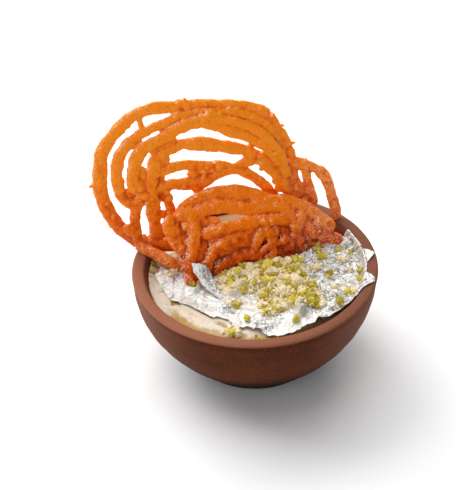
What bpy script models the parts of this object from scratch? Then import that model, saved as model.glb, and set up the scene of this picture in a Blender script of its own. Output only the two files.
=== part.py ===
"""Jalebi standing in a clay bowl of rabri.

A red clay bowl, 96 mm across, is filled with rabri up to 5.5 mm under its rim.  A wide jalebi of
piped, fused rings stands up at the back, resting on the rim left and right.  A second, smaller one
leans against it with its feet in the rabri.  Crumpled silver leaf lies over most of the surface and
chopped pistachio is heaped on the leaf.

Metres, +Z up, the origin at the middle of the bowl's foot, the front of the dish toward -Y.
"""

import math

import bmesh
import bpy
import numpy as np
from mathutils import Matrix, Vector

MM = 0.001
NAME = "jalebi_bowl"

# ---------------------------------------------------------------- sizes in mm
RIM_RADIUS = 48.0
RIM_INNER = 43.6
BOWL_HEIGHT = 42.0
FOOT_RADIUS = 26.6
WALL = 6.0
FLOOR = 7.0
LIP_HEIGHT = 3.4
GROOVE = 0.55
RIM_TILT = 1.5          # degrees, the left of the rim is lower

RABRI_LEVEL = 36.5
GAP = 0.5
LEAF_THICKNESS = 1.0
LAYER_REACH = 40.7      # nothing lying on the rabri comes nearer to the wall

# The two jalebi are piped flat and stood up, so each is laid out on its own leaning face:
# u runs along the foot of the face, w up the face and d out of it toward the front.
REAR_FACE = dict(foot=(-45.0, 11.7, 45.0), turn=12.8, lean=(8.0, 8.0), span=80.0)
FRONT_FACE = dict(foot=(-24.0, -4.5, 38.0), turn=23.0, lean=(34.0, 25.0), span=60.0)

# Rings of the rear jalebi: radius from the middle of the face at every half hour of a clock,
# with the hour at which the ring begins.  name: (first hour, strand radius, depth, radii)
REAR_MIDDLE = (24.0, 22.0)
REAR_RINGS = {
    "outer": (6.0, 2.75, 0.0, (30, 27.5, 29, 31.5, 34.5, 36.5, 38, 40, 41.5, 41, 38.5, 34.5, 33.5,
                               33, 35.5, 37.5, 36.5, 37, 38, 43)),
    "second": (9.0, 2.35, 0.3, (31, 33.5, 34.5, 34, 31.5, 31.5, 31, 32, 34, 35.5, 35, 35.5)),
    "third": (9.0, 2.3, -0.2, (24.5, 27, 28, 28, 26.5, 27, 26.5, 26, 26, 27.5, 29.5, 32, 36)),
    "crest": (11.5, 1.8, 1.0, (29.5, 28.5, 29, 30, 32, 34, 35)),
}

# Strands that cross the rings.  name: (strand radius, knots as (u, w) or (u, w, d))
REAR_STRANDS = {
    "hook": (2.2, ((1, 21), (-0.5, 17), (-5, 18), (-7.5, 23), (-7.5, 30))),
    "fourth": (2.5, ((5, 32.5, 1), (8, 36.5), (16.5, 40), (26.5, 39.5), (37.5, 35.5), (43, 34),
                     (52, 27.5), (59.5, 16), (63, 9))),
    "fifth": (2.3, ((7.5, 29.5, 1), (17, 31), (28, 29.5), (33, 29.5), (38, 26.5), (46, 28),
                    (51, 30))),
    "sixth": (2.15, ((7, 20.5, 1), (18, 23.5), (28, 26), (34, 27), (43, 24.5), (51, 17.5),
                     (59, 7))),
    "post": (2.7, ((8, 35, 1), (5, 26, 1), (5.5, 11, 0.5), (6, -1, 0.5))),
    "post_inner": (1.8, ((10, 31), (9, 25), (12, 13), (12, 7), (9.5, 0))),
    "knot": (2.0, ((4, 35.5), (1.5, 28), (3, 19))),
    "web_high": (2.1, ((4, 37.5), (8, 41.5), (13, 44), (17, 45.5))),
    "web_middle": (2.0, ((6, 33), (12, 35))),
    "web_low": (1.7, ((19, 27), (28, 28.5), (34, 28))),
    "tie": (1.8, ((-1, 17), (-2.5, 9), (-1.5, 2))),
    "right_loop": (2.5, ((57, 29), (65, 26.5), (72.5, 22), (77, 14), (79, 3))),
    "right_inner": (2.4, ((54, 33), (64, 20), (69, 8.5), (70.5, 4))),
    "right_middle": (2.5, ((50, 33.5, 1), (59, 19, 1), (67, 7))),
    "tail": (2.3, ((-5, 5, 1.5), (0, -0.5, 4), (5.5, -3.5, 7), (13, -9, 11.5))),
}

FRONT_STRANDS = {
    "arc_outer": (2.5, ((-4, 22), (-1, 27.5), (8.5, 31), (20, 31.5), (29.5, 28.5), (38, 22.5),
                        (49, 17.5), (59, 10.5), (62.5, 7))),
    "arc_second": (2.35, ((1, 20), (4, 24), (14, 26.5), (26, 23.5), (38, 20), (50, 15))),
    "arc_front": (2.0, ((5, 18.5, 1), (17.5, 17.5, 2), (30, 17, 2), (42.5, 15, 1), (47, 12))),
    "diagonal": (2.7, ((5.5, -3, 1), (9, 4, 1), (18.5, 10, 1), (30, 12, 1), (36, 12))),
    "post": (2.35, ((-2, 26.5, 1), (3, 25.5, 1), (5, 22, 1), (2.5, 11.5, 1), (-1, 2.5), (-0.5, -3))),
    "post_inner": (2.0, ((6.5, 17), (5.5, 11), (3, 5))),
    "left_low": (2.5, ((-4.5, 24), (-4, 19), (-1, 10, -1), (-1, 2, -1))),
    "right_fall": (2.3, ((41, 17.5), (44.5, 8), (47, -3))),
    "right_cross": (2.3, ((56, 13), (49, 8, 1), (51, 0, 1))),
    "right_tail": (2.3, ((47, 11), (56, 4.5), (62.5, 1.5))),
    "right_tip": (2.3, ((50, 15), (60, 7), (63, 7))),
    "low": (2.3, ((8, 2, -1), (17, 2), (29, 4), (41, 1.5), (47, 2))),
    "back_high": (2.3, ((0, 18, -2), (14, 18, -3.5), (30, 15, -3.5), (46, 10, -3))),
    "back_low": (2.3, ((4, 8, -3), (18, 6, -4), (34, 7, -4), (50, 4, -3))),
    "curl": (1.8, ((36, 12, 1), (31.5, 9, 1), (32, 4, 1), (37, 3, 1), (40, 7, 1), (36, 12, 1))),
}

VOXEL = 0.8
REAR_TRIANGLES = 2700
FRONT_TRIANGLES = 1800
ROOM = 0.85


# ---------------------------------------------------------------- small helpers
def material(name, colour, roughness, metallic=0.0):
    made = bpy.data.materials.new(name)
    made.use_nodes = True
    shader = made.node_tree.nodes["Principled BSDF"]
    shader.inputs["Base Color"].default_value = (*colour, 1.0)
    shader.inputs["Roughness"].default_value = roughness
    shader.inputs["Metallic"].default_value = metallic
    return made


def link(mesh, name, collection, skin=None):
    made = bpy.data.objects.new(name, mesh)
    collection.objects.link(made)
    if skin is not None:
        mesh.materials.clear()
        mesh.materials.append(skin)
    return made


def wave(x, y, seed):
    """A smooth uneven value between about -1 and 1."""
    phase = 2.1 * seed
    return (
        math.sin(0.21 * x + 0.13 * y + phase)
        + math.sin(-0.17 * x + 0.26 * y + 1.7 * phase)
        + 0.6 * math.sin(0.43 * x + 0.31 * y + 0.6 * phase)
    ) / 2.6


def smooth_route(knots, steps):
    """Points along a smooth line through the knots."""
    pts = [np.array(k, float) for k in knots]
    pts = [2 * pts[0] - pts[1], *pts, 2 * pts[-1] - pts[-2]]
    route = []
    for a, b, c, d in zip(pts, pts[1:], pts[2:], pts[3:]):
        for i in range(steps):
            t = i / steps
            route.append(
                b
                + 0.5 * t * (c - a)
                + 0.5 * t * t * (2 * a - 5 * b + 4 * c - d)
                + 0.5 * t**3 * (3 * b - a - 3 * c + d)
            )
    route.append(pts[-2])
    return route


def evaluated(obj):
    """The object's mesh with its modifiers worked out."""
    graph = bpy.context.evaluated_depsgraph_get()
    return bpy.data.meshes.new_from_object(obj.evaluated_get(graph))


def add_remesh(obj, voxel):
    mod = obj.modifiers.new("Fuse", "REMESH")
    mod.mode = "VOXEL"
    mod.voxel_size = voxel * MM
    mod.adaptivity = 0.0
    return mod


def largest_piece(mesh):
    """Keep the biggest closed shell and drop the rest, such as shut-in hollows."""
    bm = bmesh.new()
    bm.from_mesh(mesh)
    bm.verts.ensure_lookup_table()
    seen = set()
    pieces = []
    for start in bm.verts:
        if start.index in seen:
            continue
        piece = []
        stack = [start]
        seen.add(start.index)
        while stack:
            vert = stack.pop()
            piece.append(vert)
            for edge in vert.link_edges:
                other = edge.other_vert(vert)
                if other.index not in seen:
                    seen.add(other.index)
                    stack.append(other)
        pieces.append(piece)
    pieces.sort(key=len)
    for piece in pieces[:-1]:
        bmesh.ops.delete(bm, geom=piece, context="VERTS")
    bmesh.ops.recalc_face_normals(bm, faces=bm.faces)
    bm.to_mesh(mesh)
    bm.free()
    return mesh


# ---------------------------------------------------------------- clay bowl
def outer_wall(t):
    """Radius and height on the outside of the bowl; t runs from 0 at the rim to 1 at the foot."""
    angle = 0.5 * math.pi * t
    radius = FOOT_RADIUS + (RIM_RADIUS - FOOT_RADIUS) * math.cos(angle) ** 2.37
    height = BOWL_HEIGHT * (1 - math.sin(angle) ** 0.834)
    return radius, height


def inner_radius(height):
    """Radius of the inside of the bowl at a height."""
    drop = (BOWL_HEIGHT - height) / (BOWL_HEIGHT - FLOOR)
    return 22.0 + (RIM_INNER - 22.0) * (1 - min(drop, 1.0) ** 2.2) ** 0.75 - 1.4 * min(6 * drop, 1)


def bowl_profile():
    """From the middle of the inside floor up the inside, over the lip and down to the foot."""
    points = [(0.0, FLOOR)]
    inside = [FLOOR + 0.01, 8.0, 10.0, 14.0, 20.0, 28.0, 36.0, 39.6]
    points += [(inner_radius(height), height) for height in inside]
    middle = 0.5 * (RIM_INNER + RIM_RADIUS)
    half = 0.5 * (RIM_RADIUS - RIM_INNER)
    for step in range(1, 6):
        angle = math.pi * (1 - step / 6)
        lift = 1.9 * math.sin(angle) ** 0.8
        points.append((middle + half * math.cos(angle), BOWL_HEIGHT - 1.9 + lift))
    points.append((RIM_RADIUS, BOWL_HEIGHT - 0.75 * LIP_HEIGHT))
    points.append((RIM_RADIUS - GROOVE - 0.15, BOWL_HEIGHT - LIP_HEIGHT))
    for step in range(1, 9):
        radius, height = outer_wall(0.04 + 0.92 * step / 8)
        points.append((radius, height))
    points.append((FOOT_RADIUS - 0.2, 0.9))
    points.append((FOOT_RADIUS - 1.2, 0.0))
    points.append((0.0, 0.0))
    return points


def turned(name, points, collection, skin, steps):
    """A solid turned round the z axis from a profile drawn at +X."""
    mesh = bpy.data.meshes.new(name)
    verts = [(radius * MM, 0.0, height * MM) for radius, height in points]
    mesh.from_pydata(verts, [(i, i + 1) for i in range(len(verts) - 1)], [])
    made = link(mesh, name, collection, skin)
    mod = made.modifiers.new("Turn", "SCREW")
    mod.axis = "Z"
    mod.steps = steps
    mod.render_steps = steps
    mod.use_merge_vertices = True
    mod.merge_threshold = 0.00001
    mod.use_normal_calculate = True
    return made


def lean_rim(mesh):
    """Let the rim stand a little lower on the left, as on a hand-turned bowl."""
    slope = math.tan(math.radians(RIM_TILT))
    for vert in mesh.vertices:
        vert.co.z += vert.co.x * slope * vert.co.z / (BOWL_HEIGHT * MM)


def outward(mesh):
    bm = bmesh.new()
    bm.from_mesh(mesh)
    bmesh.ops.remove_doubles(bm, verts=bm.verts, dist=0.00001)
    bmesh.ops.recalc_face_normals(bm, faces=bm.faces)
    if bm.calc_volume(signed=True) < 0:
        bmesh.ops.reverse_faces(bm, faces=bm.faces)
    bm.to_mesh(mesh)
    bm.free()
    return mesh


def build_bowl(collection, skin):
    draft = turned("bowl_draft", bowl_profile(), collection, skin, 56)
    mesh = outward(evaluated(draft))
    lean_rim(mesh)
    bpy.data.objects.remove(draft)
    return link(mesh, "clay_bowl", collection, skin)


# ---------------------------------------------------------------- jalebi
def face_point(face, u, w, d):
    """A place on a leaning face, in mm."""
    turn = math.radians(face["turn"])
    start, end = face["lean"]
    lean = math.radians(start + (end - start) * u / face["span"])
    along = Vector((math.cos(turn), math.sin(turn), 0.0))
    back = Vector((-math.sin(turn), math.cos(turn), 0.0))
    rise = back * math.sin(lean) + Vector((0.0, 0.0, math.cos(lean)))
    front = -back * math.cos(lean) + Vector((0.0, 0.0, math.sin(lean)))
    return Vector(face["foot"]) + along * u + rise * w + front * d


def ring_knots(first_hour, depth, radii):
    """Turn radii at the half hours of a clock into places on the face."""
    knots = []
    for step, radius in enumerate(radii):
        angle = math.radians(30 * (first_hour + 0.5 * step))
        u = REAR_MIDDLE[0] + radius * math.sin(angle)
        w = REAR_MIDDLE[1] + radius * math.cos(angle)
        knots.append((u, w, depth))
    return knots


def rear_routes():
    routes = []
    for first_hour, thickness, depth, radii in REAR_RINGS.values():
        routes.append((thickness, ring_knots(first_hour, depth, radii)))
    for thickness, knots in REAR_STRANDS.values():
        routes.append((thickness, [(*knot, 0.0)[:3] for knot in knots]))
    return routes


def front_routes():
    return [(thickness, [(*k, 0.0)[:3] for k in knots]) for thickness, knots in FRONT_STRANDS.values()]


def strands(name, face, routes, collection):
    """One mesh of round strands along the routes, each end closed."""
    data = bpy.data.curves.new(name, "CURVE")
    data.dimensions = "3D"
    data.bevel_depth = MM
    data.bevel_resolution = 2
    data.use_fill_caps = True
    for index, (thickness, knots) in enumerate(routes):
        route = smooth_route(knots, 5)
        spline = data.splines.new("POLY")
        spline.points.add(len(route) - 1)
        for step, (u, w, d) in enumerate(route):
            place = face_point(face, u, w, d)
            swell = 1 + 0.07 * math.sin(1.9 * step + 2.3 * index)
            spline.points[step].co = (*(place * MM), 1.0)
            spline.points[step].radius = thickness * swell
    curve = bpy.data.objects.new(name + "_curve", data)
    collection.objects.link(curve)
    mesh = evaluated(curve)
    bpy.data.objects.remove(curve)
    bm = bmesh.new()
    bm.from_mesh(mesh)
    bmesh.ops.remove_doubles(bm, verts=bm.verts, dist=0.00001)
    bm.to_mesh(mesh)
    bm.free()
    return link(mesh, name, collection)


def fused(name, face, routes, triangles, collection, skin):
    """Strands melted into one closed body where they touch."""
    draft = strands(name + "_draft", face, routes, collection)
    add_remesh(draft, VOXEL)
    mesh = largest_piece(evaluated(draft))
    bpy.data.objects.remove(draft)
    made = link(mesh, name + "_fused", collection, skin)
    soften = made.modifiers.new("Soften", "SMOOTH")
    soften.factor = 0.5
    soften.iterations = 2
    reduce = made.modifiers.new("Reduce", "DECIMATE")
    reduce.ratio = triangles / (2 * len(mesh.polygons))
    mesh = largest_piece(outward(evaluated(made)))
    bpy.data.objects.remove(made)
    return link(mesh, name, collection, skin)


# ---------------------------------------------------------------- rabri, leaf and nuts
def room_round(body, collection):
    """A cutter a little larger than a body, for what the body stands in."""
    made = link(body.data.copy(), body.name + "_room", collection)
    swell = made.modifiers.new("Swell", "DISPLACE")
    swell.strength = ROOM * MM
    swell.mid_level = 0.0
    add_remesh(made, VOXEL)
    mesh = largest_piece(evaluated(made))
    bpy.data.objects.remove(made)
    made = link(mesh, body.name + "_room", collection)
    reduce = made.modifiers.new("Reduce", "DECIMATE")
    reduce.ratio = 0.12
    made.hide_render = True
    made.display_type = "WIRE"
    return made


def rabri_top(x, y):
    """The rabri is a little lumpy and creeps up where it meets the wall."""
    near_wall = max(0.0, math.hypot(x, y) - 36) / 6
    return RABRI_LEVEL + 0.3 * wave(1.2 * x, 1.2 * y, 3) + 0.4 * near_wall


def rabri_profile():
    points = [(0.0, RABRI_LEVEL)]
    points += [(radius, RABRI_LEVEL) for radius in (7, 14, 21, 28, 34, 38)]
    points.append((inner_radius(RABRI_LEVEL) - 0.55, RABRI_LEVEL))
    for height in (28.0, 20.0, 14.0, 10.0):
        points.append((inner_radius(height) - 0.75, height))
    points.append((inner_radius(8.0) - 1.0, 8.4))
    points.append((0.0, 8.2))
    return points


def build_rabri(collection, skin):
    draft = turned("rabri_draft", rabri_profile(), collection, skin, 44)
    mesh = outward(evaluated(draft))
    bpy.data.objects.remove(draft)
    for vert in mesh.vertices:
        if vert.co.z > (RABRI_LEVEL - 0.01) * MM:
            x, y = vert.co.x / MM, vert.co.y / MM
            vert.co.z = rabri_top(x, y) * MM
    lean_rim(mesh)
    return link(mesh, "rabri", collection, skin)


def lean_lift(x, z):
    """Height gained by the lean of the rim at a place."""
    return x * math.tan(math.radians(RIM_TILT)) * z / BOWL_HEIGHT


# Outlines are given round a middle, in mm at every hour of a clock seen from above, 12 toward
# the back.  The leaf meets the wall on the right and stops short of it at the front left.
LEAF_MIDDLE = (8.0, -10.0)
LEAF_OUTLINE = (20, 27, 37, 32, 28, 22, 23.5, 24.5, 28, 45, 33, 19)
HEAP_MIDDLE = (7.0, -7.0)
HEAP_OUTLINE = (11, 16, 22, 21, 15, 12, 13, 15, 19, 20, 15, 11)


def outline_radius(outline, angle):
    """Smooth outline through the hourly radii; the angle is clockwise from 12."""
    place = (angle / (2 * math.pi) * 12) % 12
    hour = int(place)
    t = place - hour
    a, b, c, d = (outline[(hour + k) % 12] for k in (-1, 0, 1, 2))
    return (
        b
        + 0.5 * t * (c - a)
        + 0.5 * t * t * (2 * a - 5 * b + 4 * c - d)
        + 0.5 * t**3 * (3 * b - a - 3 * c + d)
    )


def leaf_bottom(x, y):
    level = rabri_top(x, y) + GAP
    return level + lean_lift(x, level)


def crease(x, y):
    """A fold standing up from the leaf at the left."""
    start, end = Vector((-21.0, -9.0)), Vector((-13.0, -27.0))
    line = end - start
    along = (Vector((x, y)) - start).dot(line) / line.length_squared
    inside = min(max(along, 0.0), 1.0)
    away = (Vector((x, y)) - start - line * inside).length
    return 3.2 * math.exp(-((away / 1.9) ** 2))


def leaf_top(x, y):
    crumple = 0.35 * wave(2.6 * x, 2.6 * y, 5) * min(max((away_from_heap(x, y)) / 5, 0), 1)
    return leaf_bottom(x, y) + LEAF_THICKNESS + crumple + crease(x, y)


def away_from_heap(x, y):
    dx, dy = x - HEAP_MIDDLE[0], y - HEAP_MIDDLE[1]
    return math.hypot(dx, dy) - outline_radius(HEAP_OUTLINE, math.atan2(dx, dy))


def heap_bottom(x, y):
    return leaf_bottom(x, y) + LEAF_THICKNESS + GAP + crease(x, y)


def heap_top(x, y):
    inside = min(max(-away_from_heap(x, y) / 9, 0.0), 1.0)
    mound = 1.0 + 4.2 * (1 - (1 - inside) ** 2)
    return heap_bottom(x, y) + mound * (1 + 0.28 * wave(3.5 * x, 3.5 * y, 8))


def layer(name, middle, outline, bottom, top, sectors, rings, collection, skin):
    """A closed sheet between two surfaces, out to an uneven outline."""
    mesh = bpy.data.meshes.new(name)
    verts, faces = [], []
    for surface in (bottom, top):
        x, y = middle
        verts.append((x, y, surface(x, y)))
        for ring in range(1, rings + 1):
            for sector in range(sectors):
                angle = 2 * math.pi * sector / sectors
                radius = outline_radius(outline, angle) * ring / rings
                if ring == rings:
                    radius *= 1 + 0.03 * math.sin(7.3 * angle) + 0.02 * math.sin(17 * angle)
                x = middle[0] + radius * math.sin(angle)
                y = middle[1] + radius * math.cos(angle)
                inward = min(1.0, LAYER_REACH / math.hypot(x, y))
                verts.append((x * inward, y * inward, surface(x * inward, y * inward)))
    half = 1 + rings * sectors
    for side in (0, half):
        for sector in range(sectors):
            after = (sector + 1) % sectors
            faces.append((side, side + 1 + sector, side + 1 + after))
            for ring in range(rings - 1):
                base = side + 1 + ring * sectors
                faces.append((base + sector, base + sectors + sector,
                              base + sectors + after, base + after))
    rim = 1 + (rings - 1) * sectors
    for sector in range(sectors):
        after = (sector + 1) % sectors
        faces.append((rim + sector, rim + after, half + rim + after, half + rim + sector))
    mesh.from_pydata([Vector(v) * MM for v in verts], [], faces)
    return link(outward(mesh), name, collection, skin)


def cut_round(obj, cutters, collection, skin):
    """Cut the shapes of the cutters out of a solid and keep its main piece."""
    for cutter in cutters:
        mod = obj.modifiers.new("Cut " + cutter.name, "BOOLEAN")
        mod.operation = "DIFFERENCE"
        mod.solver = "EXACT"
        mod.object = cutter
    mesh = evaluated(obj)
    name = obj.name
    bpy.data.objects.remove(obj)
    bm = bmesh.new()
    bm.from_mesh(mesh)
    bmesh.ops.triangulate(bm, faces=bm.faces)
    bm.to_mesh(mesh)
    bm.free()
    mesh = largest_piece(mesh)
    return link(mesh, name, collection, skin)


# ---------------------------------------------------------------- the dish
def main():
    for old in list(bpy.data.objects):
        bpy.data.objects.remove(old)
    scene = bpy.context.scene
    parts = bpy.data.collections.new(NAME)
    tools = bpy.data.collections.new(NAME + "_cutters")
    scene.collection.children.link(parts)
    scene.collection.children.link(tools)

    clay = material("clay", (0.33, 0.13, 0.075), 0.75)
    cream = material("cream", (0.78, 0.66, 0.46), 0.35)
    silver = material("silver", (0.85, 0.85, 0.86), 0.28, 1.0)
    nuts = material("nuts", (0.42, 0.40, 0.08), 0.7)
    fried_rear = material("fried_rear", (0.80, 0.22, 0.02), 0.35)
    fried_front = material("fried_front", (0.66, 0.14, 0.015), 0.35)

    build_bowl(parts, clay)
    rear = fused("jalebi_rear", REAR_FACE, rear_routes(), REAR_TRIANGLES, parts, fried_rear)
    front = fused("jalebi_front", FRONT_FACE, front_routes(), FRONT_TRIANGLES, parts, fried_front)
    rear_room = room_round(rear, tools)
    front_room = room_round(front, tools)

    rabri = build_rabri(parts, cream)
    leaf = layer("silver_leaf", LEAF_MIDDLE, LEAF_OUTLINE, leaf_bottom, leaf_top, 40, 6, parts,
                 silver)
    heap = layer("pistachio_heap", HEAP_MIDDLE, HEAP_OUTLINE, heap_bottom, heap_top, 26, 5, parts,
                 nuts)
    cut_round(rabri, (rear_room, front_room), parts, cream)
    cut_round(leaf, (rear_room, front_room), parts, silver)
    cut_round(heap, (front_room,), parts, nuts)


main()
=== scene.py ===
# %% [markdown]
# # Jalebi standing in a clay bowl of rabri
#
# Jalebi is a fried sweet: thin batter is piped in loops into hot fat, where the loops fuse into a
# flat lacy disc, and the disc is then soaked in syrup. This serving stands two of them up in a
# small clay bowl of rabri, which is milk boiled down to a clotted cream. Edible silver leaf lies
# crumpled over the cream and chopped pistachio is heaped on the leaf.
#
# The solid parts already exist as a frame of exact, plain shapes. This lesson loads that frame and
# makes what is seen: each plain shape is replaced by a detailed piece that fills the same space.

# %% Load the frame and remember its size
import math
import random

import bmesh
import bpy
import numpy as np
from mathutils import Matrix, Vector, noise


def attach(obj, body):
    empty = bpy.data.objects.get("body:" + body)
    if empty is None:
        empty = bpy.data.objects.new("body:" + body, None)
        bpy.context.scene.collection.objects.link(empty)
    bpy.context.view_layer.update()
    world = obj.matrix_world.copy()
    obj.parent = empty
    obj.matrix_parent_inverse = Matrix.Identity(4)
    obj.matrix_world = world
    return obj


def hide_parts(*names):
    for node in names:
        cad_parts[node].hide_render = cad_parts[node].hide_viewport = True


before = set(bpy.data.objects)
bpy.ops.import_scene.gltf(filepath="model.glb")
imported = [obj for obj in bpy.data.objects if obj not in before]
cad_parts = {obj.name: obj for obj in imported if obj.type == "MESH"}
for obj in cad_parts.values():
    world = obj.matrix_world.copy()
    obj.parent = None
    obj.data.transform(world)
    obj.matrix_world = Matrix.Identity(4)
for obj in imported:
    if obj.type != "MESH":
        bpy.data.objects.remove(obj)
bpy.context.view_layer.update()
MM = 0.001
print("frame holds", ", ".join(sorted(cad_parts)))

# %% [markdown]
# ## Camera
#
# The dish is looked at from a little over half a metre away, 37.5 degrees above the table. A long
# lens keeps the bowl's rim a calm ellipse. The camera's place is worked out from the point it looks
# at, so that the height of view is one number.

# %% Camera
def add_object(name, data):
    """An object for a mesh, a curve, a light or a camera, put into the scene."""
    made = bpy.data.objects.new(name, data)
    bpy.context.scene.collection.objects.link(made)
    return made


VIEW_HEIGHT = math.radians(37.5)
VIEW_DISTANCE = 549 * MM
LENS = 103.4
SENSOR = 36.0
look_at = Vector((-6.8, 0.0, 51.8)) * MM
toward_camera = Vector((0.0, -math.cos(VIEW_HEIGHT), math.sin(VIEW_HEIGHT)))

camera_data = bpy.data.cameras.new("camera")
camera_data.lens = LENS
camera_data.sensor_width = SENSOR
camera_data.clip_start = 0.02
camera_data.clip_end = 20.0
camera = add_object("camera", camera_data)
camera.location = look_at + toward_camera * VIEW_DISTANCE
camera.rotation_euler = toward_camera.to_track_quat("Z", "Y").to_euler()
bpy.context.scene.camera = camera
bpy.context.scene.view_settings.view_transform = "Standard"
print("camera", [round(value, 3) for value in camera.location])

# %% [markdown]
# ## Table and light
#
# The main light is a wide soft panel behind the dish and to the left. It skims over the fried
# strands, so their upper edges shine and thin parts glow, and it leaves the front of the bowl in
# shade. A weaker one behind fills in from the right, a panel above whitens the silver leaf, and a
# large soft one in front keeps the shade readable.

# %% Table and light
DISH_MIDDLE = Vector((0.0, 0.0, 0.05))


def soft_panel(name, place, size, watts):
    """A square area light that looks at the middle of the dish."""
    data = bpy.data.lights.new(name, "AREA")
    data.size = size
    data.energy = watts
    made = add_object(name, data)
    made.location = place
    made.rotation_euler = (Vector(place) - DISH_MIDDLE).to_track_quat("Z", "Y").to_euler()


PANELS = (  # name, place and size in metres, watts
    ("panel_back_left", (-0.85, 0.80, 0.95), 1.3, 28.0),
    ("panel_back", (0.30, 1.20, 0.90), 1.0, 8.0),
    ("panel_above", (-0.1, 0.1, 1.5), 1.0, 7.0),
    ("panel_front", (-0.8, -1.8, 0.8), 2.5, 15.0),
)
for panel in PANELS:
    soft_panel(*panel)

world = bpy.data.worlds.new("studio")
world.use_nodes = True
sky = world.node_tree.nodes["Background"].inputs
sky["Color"].default_value = (1.0, 1.0, 1.0, 1.0)
sky["Strength"].default_value = 0.32
bpy.context.scene.world = world

table_mesh = bpy.data.meshes.new("table")
table_mesh.from_pydata([(-3, -3, 0), (3, -3, 0), (3, 3, 0), (-3, 3, 0)], [], [(0, 1, 2, 3)])
table = add_object("table", table_mesh)
table_finish = bpy.data.materials.new("table_finish")
table_finish.use_nodes = True
table_shader = table_finish.node_tree.nodes["Principled BSDF"]
table_shader.inputs["Base Color"].default_value = (0.86, 0.86, 0.86, 1.0)
table_shader.inputs["Roughness"].default_value = 0.6
table.data.materials.append(table_finish)

# %% [markdown]
# ## Writing node trees as sums
#
# Materials and Geometry Nodes are both trees of nodes. A node has settings and sockets, so one
# method makes any node, and a small class wraps a socket so that `grain * 0.5 + 1` adds the Math
# nodes for itself. Everything below is written with these two.

# %% Node helpers
class Value:
    """A socket that can be used in sums."""

    def __init__(self, net, socket):
        self.net = net
        self.socket = socket

    def _math(self, operation, *others):
        return self.net.node("ShaderNodeMath", {"operation": operation}, list(others))

    def __add__(self, other):
        return self._math("ADD", self, other)

    __radd__ = __add__

    def __sub__(self, other):
        return self._math("SUBTRACT", self, other)

    def __rsub__(self, other):
        return self._math("SUBTRACT", other, self)

    def __mul__(self, other):
        return self._math("MULTIPLY", self, other)

    __rmul__ = __mul__

    def power(self, other):
        return self._math("POWER", self, other)

    def step(self, low, high):
        """0 below low, 1 above high and smooth between them."""
        sockets = {0: self, 1: low, 2: high, 3: 0.0, 4: 1.0}
        return self.net.node("ShaderNodeMapRange", {"interpolation_type": "SMOOTHSTEP"}, sockets)


class Net:
    """A node tree and the one method that adds to it."""

    def __init__(self, tree):
        self.tree = tree

    def node(self, kind, settings=None, sockets=None, out=0):
        made = self.tree.nodes.new(kind)
        for name, value in (settings or {}).items():
            setattr(made, name, value)
        pairs = enumerate(sockets) if isinstance(sockets, list) else (sockets or {}).items()
        for key, value in pairs:
            if isinstance(value, Value):
                self.tree.links.new(value.socket, made.inputs[key])
            else:
                made.inputs[key].default_value = value
        return Value(self, made.outputs[out])

    def vector(self, operation, *values, out=0):
        return self.node("ShaderNodeVectorMath", {"operation": operation}, list(values), out)


print("node helpers ready")

# %% [markdown]
# ## Materials
#
# Every finish here is a Principled shader with the same steps: constants go straight on the
# shader's sockets, and what changes over the surface is worked out from the place on the piece.
# Noise sizes are given in millimetres, which is how a cook or a potter would judge them.

# %% Material helpers
class Finish(Net):
    """A Principled material whose patterns sit on the piece."""

    def __init__(self, name, **constants):
        self.material = bpy.data.materials.new(name)
        self.material.use_nodes = True
        super().__init__(self.material.node_tree)
        self.shader = self.tree.nodes["Principled BSDF"]
        for key, value in constants.items():
            self.shader.inputs[key.replace("_", " ")].default_value = value
        self.place = self.node("ShaderNodeTexCoord", out="Object")

    def noise(self, size, detail=2.0, seed=0.0):
        """Soft noise from 0 to 1 whose features are about size millimetres across."""
        settings = {"noise_dimensions": "4D"}
        sockets = {"Vector": self.place, "W": seed, "Scale": 1.0 / (size * MM), "Detail": detail}
        return self.node("ShaderNodeTexNoise", settings, sockets)

    def axis(self, index):
        return self.node("ShaderNodeSeparateXYZ", None, [self.place], index)

    def attribute(self, name):
        return self.node("ShaderNodeAttribute", {"attribute_name": name}, None, "Fac")

    def blend(self, amount, first, second):
        """A colour between two colours; each is a list of numbers or the result of a blend."""
        first, second = (
            colour if isinstance(colour, Value) else (*colour, 1.0) for colour in (first, second)
        )
        sockets = {0: amount, 6: first, 7: second}
        return self.node("ShaderNodeMix", {"data_type": "RGBA"}, sockets, 2)

    def feed(self, name, value):
        self.tree.links.new(value.socket, self.shader.inputs[name])

    def relief(self, height, depth):
        """Small bumps; depth is in millimetres."""
        sockets = {"Strength": 1.0, "Distance": depth * MM, "Height": height}
        self.feed("Normal", self.node("ShaderNodeBump", None, sockets))


def srgb(code):
    """A colour as it is read off a paint chart, such as B97D69, in linear numbers."""
    values = [int(code[start : start + 2], 16) / 255 for start in (0, 2, 4)]
    return [v / 12.92 if v <= 0.04045 else ((v + 0.055) / 1.055) ** 2.4 for v in values]


print("orange as linear numbers", [round(value, 3) for value in srgb("E8750F")])

# %% [markdown]
# ## Shapes turned round an axis
#
# A bowl and the cream in it are both turned shapes: a profile swept round the middle. The Screw
# modifier does this well, but each point is also moved afterwards, to make a hand-made rim or lumpy
# cream. So the rings are written out in code, closed at the middle by one point at each end. The
# faces of such rings are needed again for the heap of nuts, so they have a helper of their own.

# %% Turning helper
def mesh_in_mm(name, verts, faces):
    """A mesh from points in mm."""
    mesh = bpy.data.meshes.new(name)
    mesh.from_pydata([tuple(c * MM for c in vert) for vert in verts], [], faces)
    return mesh


def add_piece(name, verts, faces):
    """A smooth closed object from points in mm, with its faces turned outwards."""
    mesh = mesh_in_mm(name, verts, faces)
    bm = bmesh.new()
    bm.from_mesh(mesh)
    bmesh.ops.recalc_face_normals(bm, faces=bm.faces)
    if bm.calc_volume(signed=True) < 0:
        bmesh.ops.reverse_faces(bm, faces=bm.faces)
    for face in bm.faces:
        face.smooth = True
    bm.to_mesh(mesh)
    bm.free()
    return add_object(name, mesh)


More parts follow.
